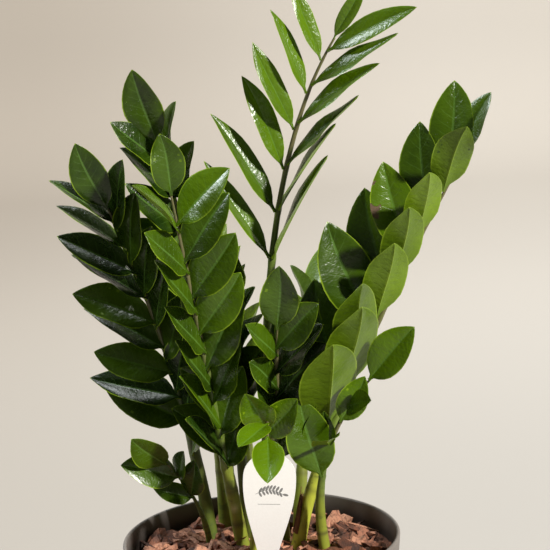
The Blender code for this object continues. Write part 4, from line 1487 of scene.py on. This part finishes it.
@dataclass
class Foliage:
    """All fronds: their stalks, and the leaflets that a Geometry Nodes tree sets on them.

    Attributes:
        node_swell: growth of the stalk's radius where a leaflet springs.
        node_reach: share of the stalk's length over which it swells.
        most_swell: most that swellings which meet add up to.
        ring_spans: shares of the length between which each scar ring lies.
        ring_swell: growth of the radius at a scar ring.
        ring_reach: half width of a scar ring, as a share of the length.
        thin_from: share of the length where the stalk starts to thin.
        thin_over: share of the length over which it thins.
        upper_thinning: loss of radius above that.
        unrounds: waves round the stalk, waves along it and depth of each unevenness.
        bark_cover: how far the stalk goes on straight into the bark.
        scars: brown patch on a leaflet: its place along it, with a minus sign for the left margin.
        stalk_youth_and_shade: youth of the stalks that are greener or paler than their leaflets; the
            values are partly painted light and shade, and the lit right stalk gets the brightest one.
        pale_spots: share and angle of a pale spot on a stalk.
        spot_reach: share and angle that a pale spot covers.
        blade_kinds: wave, twist and lean of each kind of blade.
        blade_scale: a blade's length over its CAD leaflet's.
        blade_width: a blade's slimness over its CAD leaflet's.
        root_forward: how far the necks sit to the stalk's upper side, in its radii.
        root_inward: how far they sink into it, in its radii.
        youth_climb: how much fresher a leaflet is for each share of the length that it is higher.
        youth_middle: share of the length where a leaflet has its frond's own youth.
        youth_spread: most that chance changes it.
    """

    stalk_sides: int = 16
    stalk_steps: int = 60
    node_swell: float = 0.14
    node_reach: float = 0.008
    most_swell: float = 1.2
    ring_spans: tuple[Pair, ...] = ((0.05, 0.14), (0.17, 0.24), (0.27, 0.33))
    ring_swell: float = 0.05
    ring_reach: float = 0.006
    thin_from: float = 0.22
    thin_over: float = 0.3
    upper_thinning: float = 0.30
    unrounds: tuple[Triple, ...] = ((3, 21, 0.025), (1, -9, 0.02))
    bark_cover: float = 0.006
    scars: dict[str, float] = field(default_factory=lambda: {"right_06": 0.5})
    stalk_youth_and_shade: dict[str, float] = field(
        default_factory=lambda: {"right": 1.0, "low_right": 0.5, "tall": 0.6})
    pale_spots: dict[str, Pair] = field(default_factory=lambda: {"front_left": (0.135, -0.4)})
    spot_reach: Pair = (0.011, 0.6)
    blade_kinds: tuple[Triple, ...] = (
        (0.03, 0.10, 0.05), (0.12, -0.34, -0.09), (0.08, 0.30, 0.10), (0.10, -0.12, 0.07),
        (0.05, 0.42, -0.06),
    )
    blade_scale: float = 1.08
    blade_width: float = 1.08
    root_forward: float = 0.9
    root_inward: float = 0.7
    youth_climb: float = 0.18
    youth_middle: float = 0.6
    youth_spread: float = 0.12
    seed: int = 5

    def build(self) -> None:
        """Grows, builds and dresses every frond."""
        leaf, stalk = LeafFinish().material(), StalkFinish().material()
        tree = self._tree()
        grower = Grower()
        chance = random.Random(self.seed)
        for frond in FRONDS:
            leaflets = grower.grow(frond)
            self._stalk(frond, leaflets, stalk, chance)
            self._leaflets(frond, leaflets, tree, leaf, chance)

    def _tree(self) -> Scatter:
        """The Geometry Nodes tree that sets blades on the points where leaflets spring."""
        tree = Scatter("leaflet_rows")
        names = [f"Blade {number}" for number in range(1, len(self.blade_kinds) + 1)]
        for name in names:
            tree.ask(name, "Object")
        tree.ask("Finish", "Material")
        turn = tree.node("FunctionNodeEulerToRotation", {"Euler": tree.stored("turn", "FLOAT_VECTOR")})
        placed = tree.node("GeometryNodeInstanceOnPoints", {
            "Points": tree.entry.outputs["Geometry"], "Instance": tree.gather(names),
            "Pick Instance": True, "Instance Index": tree.stored("kind", "INT"),
            "Rotation": turn.outputs[0], "Scale": tree.stored("size", "FLOAT"),
        })
        tree.end(placed.outputs[0])
        return tree

    def _stalk(self, frond: Frond, leaflets: Sequence[Leaflet], finish: Material,
               chance: random.Random) -> None:
        """One stalk: a tapering tube with a swelling at each leaflet and scar rings low down."""
        shape = bmesh.new()
        layers = [shape.verts.layers.float.new(name) for name in ("along", "youth_and_shade", "ring", "pale")]
        rings_at = [chance.uniform(*span) for span in self.ring_spans]
        # Youth value with painted light and shade: dark for stalks in shade, bright for the lit right
        # stalk.
        youth_and_shade = self.stalk_youth_and_shade.get(frond.name, frond.youth_and_shade)
        rings, marks = [], []
        for step in range(-2, self.stalk_steps + 1):
            share = max(step, 0) / self.stalk_steps
            along, face, side = frond.axes(share)
            centre = frond.point(share)
            scar = max(hill((share - at) / self.ring_reach) for at in rings_at)
            radius = self._stalk_radius(frond, leaflets, share, scar)
            ring, mark = [], []
            for i in range(self.stalk_sides):
                angle = 2 * math.pi * i / self.stalk_sides
                uneven = 1 + sum(depth * math.sin(around * angle + climb * share)
                                 for around, climb, depth in self.unrounds)
                point = centre + radius * uneven * (face * math.cos(angle) + side * math.sin(angle))
                if step < 0:
                    low = SIZES.stalk_base() if step == -2 else centre.z - self.bark_cover
                    point = point + along * ((low - point.z) / along.z)
                ring.append(point)
                mark.append((share, youth_and_shade, scar, self._glow(frond, share, angle)))
            rings.append(ring)
            marks.append(mark)
        tip = frond.point(1.0) + frond.tangent(1.0) * SIZES.stalk_round
        loops = bridge_rings(shape, rings, last=tip)
        for loop, mark in zip(loops, marks):
            for vertex, values in zip(loop, mark):
                for layer, value in zip(layers, values):
                    vertex[layer] = value
        settle(to_object(f"stalk_{frond.name}", shape, [finish]), "stalk", f"frond_{frond.name}")

    def _stalk_radius(self, frond: Frond, leaflets: Sequence[Leaflet], share: float,
                      scar: float) -> float:
        """The stalk's radius at a share of its length, with its swellings."""
        swell = sum(hill((share - leaflet.share) / self.node_reach) for leaflet in leaflets)
        upper = min(max((share - self.thin_from) / self.thin_over, 0.0), 1.0)
        growth = self.node_swell * min(swell, self.most_swell) + self.ring_swell * scar
        return frond.radius(share) * (1 + growth) * (1 - self.upper_thinning * upper)

    def _glow(self, frond: Frond, share: float, angle: float) -> float:
        """How much of the frond's pale spot shows at a share of the length and an angle round it."""
        spot = self.pale_spots.get(frond.name)
        if not spot:
            return 0.0
        around = abs((angle - spot[1] + math.pi) % (2 * math.pi) - math.pi)
        return hill((share - spot[0]) / self.spot_reach[0]) * hill(around / self.spot_reach[1])

    def _leaflets(self, frond: Frond, leaflets: Sequence[Leaflet], tree: Scatter, finish: Material,
                  chance: random.Random) -> None:
        """One frond's leaflets, as one mesh."""
        mesh = bpy.data.meshes.new("springs")
        mesh.from_pydata([self._seat(frond, leaflet) for leaflet in leaflets], [], [])
        labels = [f"{frond.name}_{number:02d}" for number in range(1, len(leaflets) + 1)]
        attributes = {
            "turn": ("FLOAT_VECTOR", "vector", [leaflet.turn() for leaflet in leaflets]),
            "size": ("FLOAT", "value", [leaflet.length * self.blade_scale for leaflet in leaflets]),
            "kind": ("INT", "value", [chance.randrange(len(self.blade_kinds)) for _ in leaflets]),
            "tone": ("FLOAT", "value", [chance.random() for _ in leaflets]),
            "youth_and_shade": ("FLOAT", "value", [self._youth_and_shade(frond, leaflet, chance) for leaflet in leaflets]),
            "scar": ("FLOAT", "value", [self.scars.get(label, 0.0) for label in labels]),
        }
        for name, (kind, key, values) in attributes.items():
            data = mesh.attributes.new(name, kind, "POINT").data
            for item, value in zip(data, values):
                setattr(item, key, value)
        springs = add_object("springs", mesh)
        blades = [
            Blade(frond.slim * self.blade_width, *kind).build(f"Blade {number}")
            for number, kind in enumerate(self.blade_kinds, 1)
        ]
        inputs = {blade.name: blade for blade in blades} | {"Finish": finish}
        made = tree.run(f"leaflets_{frond.name}", springs, inputs)
        for blade in blades:
            bpy.data.objects.remove(blade)
        nodes = [f"leaflet_{label}" for label in labels] if frond.loose else [f"frond_{frond.name}"]
        settle(made, "leaf", *nodes)

    def _seat(self, frond: Frond, leaflet: Leaflet) -> Vector:
        """Where a leaflet's neck sinks into its stalk: on the stalk's upper side."""
        radius = frond.radius(leaflet.share)
        _, face, _ = frond.axes(leaflet.share)
        inward, forward = radius * self.root_inward, radius * self.root_forward
        return leaflet.root - leaflet.outward * inward + face * forward

    def _youth_and_shade(self, frond: Frond, leaflet: Leaflet, chance: random.Random) -> float:
        """How fresh a leaflet's green is, with painted shade where the frond's value is low: the
        frond's own value, a little fresher towards the tip.
        """
        youth_and_shade = frond.youth_and_shade + self.youth_climb * (leaflet.share - self.youth_middle)
        return min(max(youth_and_shade + chance.uniform(-self.youth_spread, self.youth_spread), 0.0), 1.0)


# ---- Tag ----------------------------------------------------------------------------------------
@dataclass(frozen=True)
class CardTag:
    """The white card on its stake, with a small printed sprig instead of any name."""

    height: float = 0.110
    width: float = 0.047
    thickness: float = 0.0009
    widest: float = 0.73
    stake_width: float = 0.014
    stake_depth: float = 0.040
    place: Pair = (0.004, -0.030)
    lean: float = math.radians(4)
    ROUGH = (0.0, 0.15, 0.3, 0.45, 0.6, 0.73, 0.8, 0.87, 0.93, 0.97)
    edge_steps: int = 40
    bevel: float = 0.0002
    sprig_height: float = 0.62
    sprig_leaf: float = 0.0052
    leaf_slim: float = 0.21
    leaf_spread: float = 58
    lower_leaf: float = 0.9
    end_turn: float = -12
    stem_reach: float = 0.012
    stem_rise: float = 0.004
    stem_width: float = 0.00044
    rule_reach: float = 0.010
    rule_drop: float = 0.0095
    rule_width: float = 0.0004
    ink: float = 0.00006

    def half_width(self, share: float) -> float:
        """Half the width at a share of the height."""
        if share < self.widest:
            swell = math.sin(math.pi / 2 * max(share, 0) / self.widest) ** 1.5
            return (self.stake_width + (self.width - self.stake_width) * swell) / 2
        return self.width / 2 * (1 - ((share - self.widest) / (1 - self.widest)) ** 3)

    def _stand(self, point: Vector) -> Vector:
        """Turns a point of the upright card to its lean and place."""
        foot = Vector((*self.place, SIZES.bark_top()))
        return foot + Matrix.Rotation(self.lean, 3, "Y") @ point

    def _outline(self, heights: Sequence[float], extra: float = 0.0) -> list[Pair]:
        """The card's outline, anticlockwise from its stake."""
        right = [(self.half_width(h) + extra, h * self.height) for h in heights]
        foot = (self.stake_width / 2 + extra, -self.stake_depth - extra)
        outline = [foot, *right, (0, self.height + extra)]
        return outline + [(-x, z) for x, z in reversed(outline[:-1])]

    def rough_shape(self, extra: float = 0.0) -> Shape:
        """The card as the CAD model has it, grown by an extra amount."""
        half = self.thickness / 2 + extra
        shape = bmesh.new()
        outline = self._outline(self.ROUGH, extra)
        bridge_rings(shape, [self._plate(outline, y) for y in (-half, half)])
        return shape

    def _plate(self, points: Sequence[Pair], y: float) -> list[Vector]:
        """Points on a plane of the card, at a distance behind its middle."""
        return [self._stand(Vector((x, y, z))) for x, z in points]

    def build(self) -> None:
        """Builds the card and its print."""
        outline = self._outline([step / self.edge_steps for step in range(self.edge_steps)])
        half = self.thickness / 2
        shape = bmesh.new()
        rings = []
        edge, flank = self.bevel, half / 2
        for y, inset in ((-half, edge), (-flank, 0.0), (flank, 0.0), (half, edge)):
            narrow = 1 - inset / (self.width / 2)
            rings.append(self._plate([(x * narrow, z) for x, z in outline], y))
        bridge_rings(shape, rings)
        settle(to_object("tag_card", shape, [CARD.material()], sharp=math.radians(30)), "tag", "tag")
        self._print()

    def _leaf(self, x: float, z: float, turn: float, size: float) -> list[Pair]:
        """The outline of one printed leaf.

        Args:
            x: its root, across the card.
            z: its root's height.
            turn: its direction, in degrees above level.
            size: its length.

        Returns:
            The outline's points.
        """
        lie = Matrix.Rotation(math.radians(turn), 2)
        outline = []
        for step in range(12):
            a = 2 * math.pi * step / 12
            point = lie @ Vector(((1 + math.cos(a)) * size / 2, math.sin(a) * size * self.leaf_slim))
            outline.append((x + point.x, z + point.y))
        return outline

    def _print(self) -> None:
        """A thin printed sprig: a curved stem, leaves in pairs and a rule beneath."""
        middle = self.sprig_height * self.height
        half_stem, reach = self.stem_width / 2, self.stem_reach
        stem = [(reach * (step / 4 - 1), middle + self.stem_rise * math.sin(math.pi * step / 8))
                for step in range(9)]
        below = [(x, z - half_stem) for x, z in stem]
        patches = [below + [(x, z + half_stem) for x, z in reversed(stem)]]
        for x, z in stem[1:-1]:
            patches.append(self._leaf(x, z, self.leaf_spread, self.sprig_leaf))
            patches.append(self._leaf(x, z, -self.leaf_spread, self.sprig_leaf * self.lower_leaf))
        patches.append(self._leaf(*stem[-1], self.end_turn, self.sprig_leaf))
        end, low = self.rule_reach, middle - self.rule_drop
        high = low + self.rule_width
        patches.append([(-end, low), (end, low), (end, high), (-end, high)])
        shape = bmesh.new()
        front = -self.thickness / 2
        for points in patches:
            bridge_rings(shape, [self._plate(points, y) for y in (front - self.ink, front)])
        settle(to_object("tag_print", shape, [INK.material()], sharp=math.radians(30)), "tag")


@dataclass(frozen=True)
class DryHusk:
    """The papery sheath that stays round the right frond's foot after it has shot up.

    Attributes:
        frond: the frond that it wraps.
        low: share of the stalk's length at its foot.
        high: share at the longest of its torn tips.
        open_from: angle round the stalk where one side ends.
        open_to: angle where the other side ends.
        tear_depth: deepest tear, as a share of its height.
        upper_narrowing: loss of breadth at the top.
        looseness: its radius over the stalk's.
        gap: least gap to the stalk.
        curl: how far its upper corners curl off the stalk.
        crease: depth of its creases.
        creases_over: radians of the creases across it.
        creases_up: radians of the creases up it.
    """

    frond: str = "right"
    low: float = 0.05
    high: float = 0.20
    open_from: float = -0.85
    open_to: float = 0.75
    tear_depth: float = 0.28
    upper_narrowing: float = 0.45
    looseness: float = 1.05
    gap: float = 0.0006
    curl: float = 0.0035
    crease: float = 0.0006
    creases_over: float = 17
    creases_up: float = 6
    columns: int = 14
    rows: int = 16
    thickness: float = 0.0004
    seed: int = 23

    def build(self) -> None:
        """Builds the husk as a thin torn strip that curls off the stalk."""
        frond = next(item for item in FRONDS if item.name == self.frond)
        chance = random.Random(self.seed)
        torn = [chance.uniform(0.0, 1.0) for _ in range(self.columns + 1)]
        rows = []
        for row in range(self.rows + 1):
            up = row / self.rows
            rows.append([self._point(frond, up, i / self.columns, tear) for i, tear in enumerate(torn)])
        shape = bmesh.new()
        weave(shape, rows, closed=False)
        husk = to_object("dry_husk", shape, [HUSK.material()])
        skin = husk.modifiers.new("skin", "SOLIDIFY")
        skin.thickness = self.thickness
        settle(plain_copy("husk_right", husk), "stalk")

    def _point(self, frond: Frond, up: float, over: float, tear: float) -> Vector:
        """A point of the husk.

        Args:
            frond: the frond that it wraps.
            up: 0 at its foot to 1 at its torn edge.
            over: 0 at one side to 1 at the other.
            tear: how high its edge reaches there, from 0 to 1.

        Returns:
            The point.
        """
        share = self.low + (self.high - self.low) * up * (1 - self.tear_depth * (1 - tear))
        _, face, side = frond.axes(share)
        narrow = 1 - self.upper_narrowing * up * up
        middle = (self.open_from + self.open_to) / 2
        angle = middle + (self.open_to - self.open_from) * (over - 0.5) * narrow
        crease = self.crease * math.sin(over * self.creases_over + up * self.creases_up)
        curl = self.gap + self.curl * up**2 * abs(over - 0.5) * 2 + crease
        radius = frond.radius(share) * self.looseness + curl
        return frond.point(share) + radius * (face * math.cos(angle) + side * math.sin(angle))


# ---- Studio -------------------------------------------------------------------------------------
@dataclass(frozen=True)
class Studio:
    """The backdrop, the lights and the camera."""

    camera_place: Triple = (0.0, -1.82, 0.8573)
    pitch: float = math.radians(12.341)
    yaw: float = math.radians(0.770)
    roll: float = math.radians(3.0)
    lens: float = 138.83
    sensor: float = 36.0
    sweep_start: float = 3.0
    sweep_radius: float = 1.4
    wall_height: float = 3.2
    half_width: float = 7.0
    front: float = -6.0
    key_strength: float = 4.8
    key_angle: float = math.radians(4)
    key_colour: Triple = (1.0, 0.965, 0.91)
    key_direction: Triple = (-0.64, 0.56, -0.52)
    fill_strength: float = 0.08
    fill_colour: Triple = (0.95, 0.93, 0.90)

    def build(self) -> None:
        """Builds the whole studio."""
        self._backdrop()
        self._lights()
        self._camera()

    def _backdrop(self) -> None:
        """A pale floor that sweeps up into a wall."""
        path = [(self.front, 0.0), (self.sweep_start, 0.0)]
        for step in range(1, 25):
            turn = math.pi / 2 * step / 24
            behind, above = math.sin(turn), 1 - math.cos(turn)
            path.append((self.sweep_start + self.sweep_radius * behind, self.sweep_radius * above))
        path.append((self.sweep_start + self.sweep_radius, self.wall_height))
        shape = bmesh.new()
        edges = (self.half_width, -self.half_width)
        weave(shape, [[Vector((x, y, z)) for y, z in path] for x in edges], closed=False)
        to_object("backdrop", shape, [BackdropFinish().material()], outward=False)

    @staticmethod
    def _area(name: str, place: Triple, target: Triple, size: float, watts: float,
              colour: Triple) -> None:
        """A square softbox that faces a target."""
        lamp = bpy.data.lights.new(name, "AREA")
        lamp.shape = "SQUARE"
        lamp.size = size
        lamp.energy = watts
        lamp.color = colour
        box = add_object(name, lamp)
        box.location = place
        box.rotation_euler = (Vector(target) - Vector(place)).to_track_quat("-Z", "Y").to_euler()
        box.visible_camera = False

    def _lights(self) -> None:
        """A sun from the front right, two cool boxes from the back left and right, and a low fill."""
        sun = bpy.data.lights.new("key", "SUN")
        sun.energy = self.key_strength
        sun.angle = self.key_angle
        sun.color = self.key_colour
        key = add_object("key", sun)
        key.rotation_euler = Vector(self.key_direction).to_track_quat("-Z", "Y").to_euler()
        self._area("window", (-1.5, 0.5, 1.9), (-0.02, 0.0, 0.5), 0.7, 44, (0.88, 0.95, 1.0))
        self._area("top", (0.4, 1.3, 2.3), (0.0, 0.0, 0.5), 0.9, 16, (0.95, 0.98, 1.0))
        world = bpy.data.worlds.new("studio")
        world.use_nodes = True
        fill = world.node_tree.nodes["Background"].inputs
        fill["Color"].default_value = (*self.fill_colour, 1.0)
        fill["Strength"].default_value = self.fill_strength
        bpy.context.scene.world = world
        bpy.context.scene.view_settings.view_transform = "Standard"

    def _camera(self) -> None:
        """The camera, a little above the rim and turned slightly about its axis."""
        ahead = Vector((math.sin(self.yaw), math.cos(self.yaw), 0)) * math.cos(self.pitch)
        forward = ahead - Vector((0, 0, math.sin(self.pitch)))
        right = Vector((math.cos(self.yaw), -math.sin(self.yaw), 0))
        up = right.cross(forward)
        turned_right = right * math.cos(self.roll) - up * math.sin(self.roll)
        turned_up = right * math.sin(self.roll) + up * math.cos(self.roll)
        lens = bpy.data.cameras.new("camera")
        lens.lens = self.lens
        lens.sensor_width = self.sensor
        camera = add_object("camera", lens)
        turn = Matrix((turned_right, turned_up, -forward)).transposed().to_4x4()
        camera.matrix_world = Matrix.Translation(self.camera_place) @ turn
        bpy.context.scene.camera = camera


def dress_cad_nodes(nodes: dict[str, Piece]) -> None:
    """Gives the CAD solids that stay their finishes: the soil and the rhizomes in it.

    Args:
        nodes: the frame's node objects.
    """
    soil, rhizome = SOIL.material(), RHIZOME.material()
    for name, node in nodes.items():
        if name == "potting_soil" or name.startswith("rhizome"):
            finish = soil if name == "potting_soil" else rhizome
            node.data.materials.clear()
            node.data.materials.append(finish)
            LOG.info("%s: CAD solid, %s", name, finish.name)


def main() -> None:
    """Builds the plant around the CAD frame, then the studio."""
    logging.basicConfig(level=logging.INFO, format="%(name)s: %(message)s")
    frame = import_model()
    Studio().build()
    Pot().build()
    BarkMulch().build()
    Foliage().build()
    CardTag().build()
    DryHusk().build()
    dress_cad_nodes(frame["nodes"])


if __name__ == "__main__":
    main()
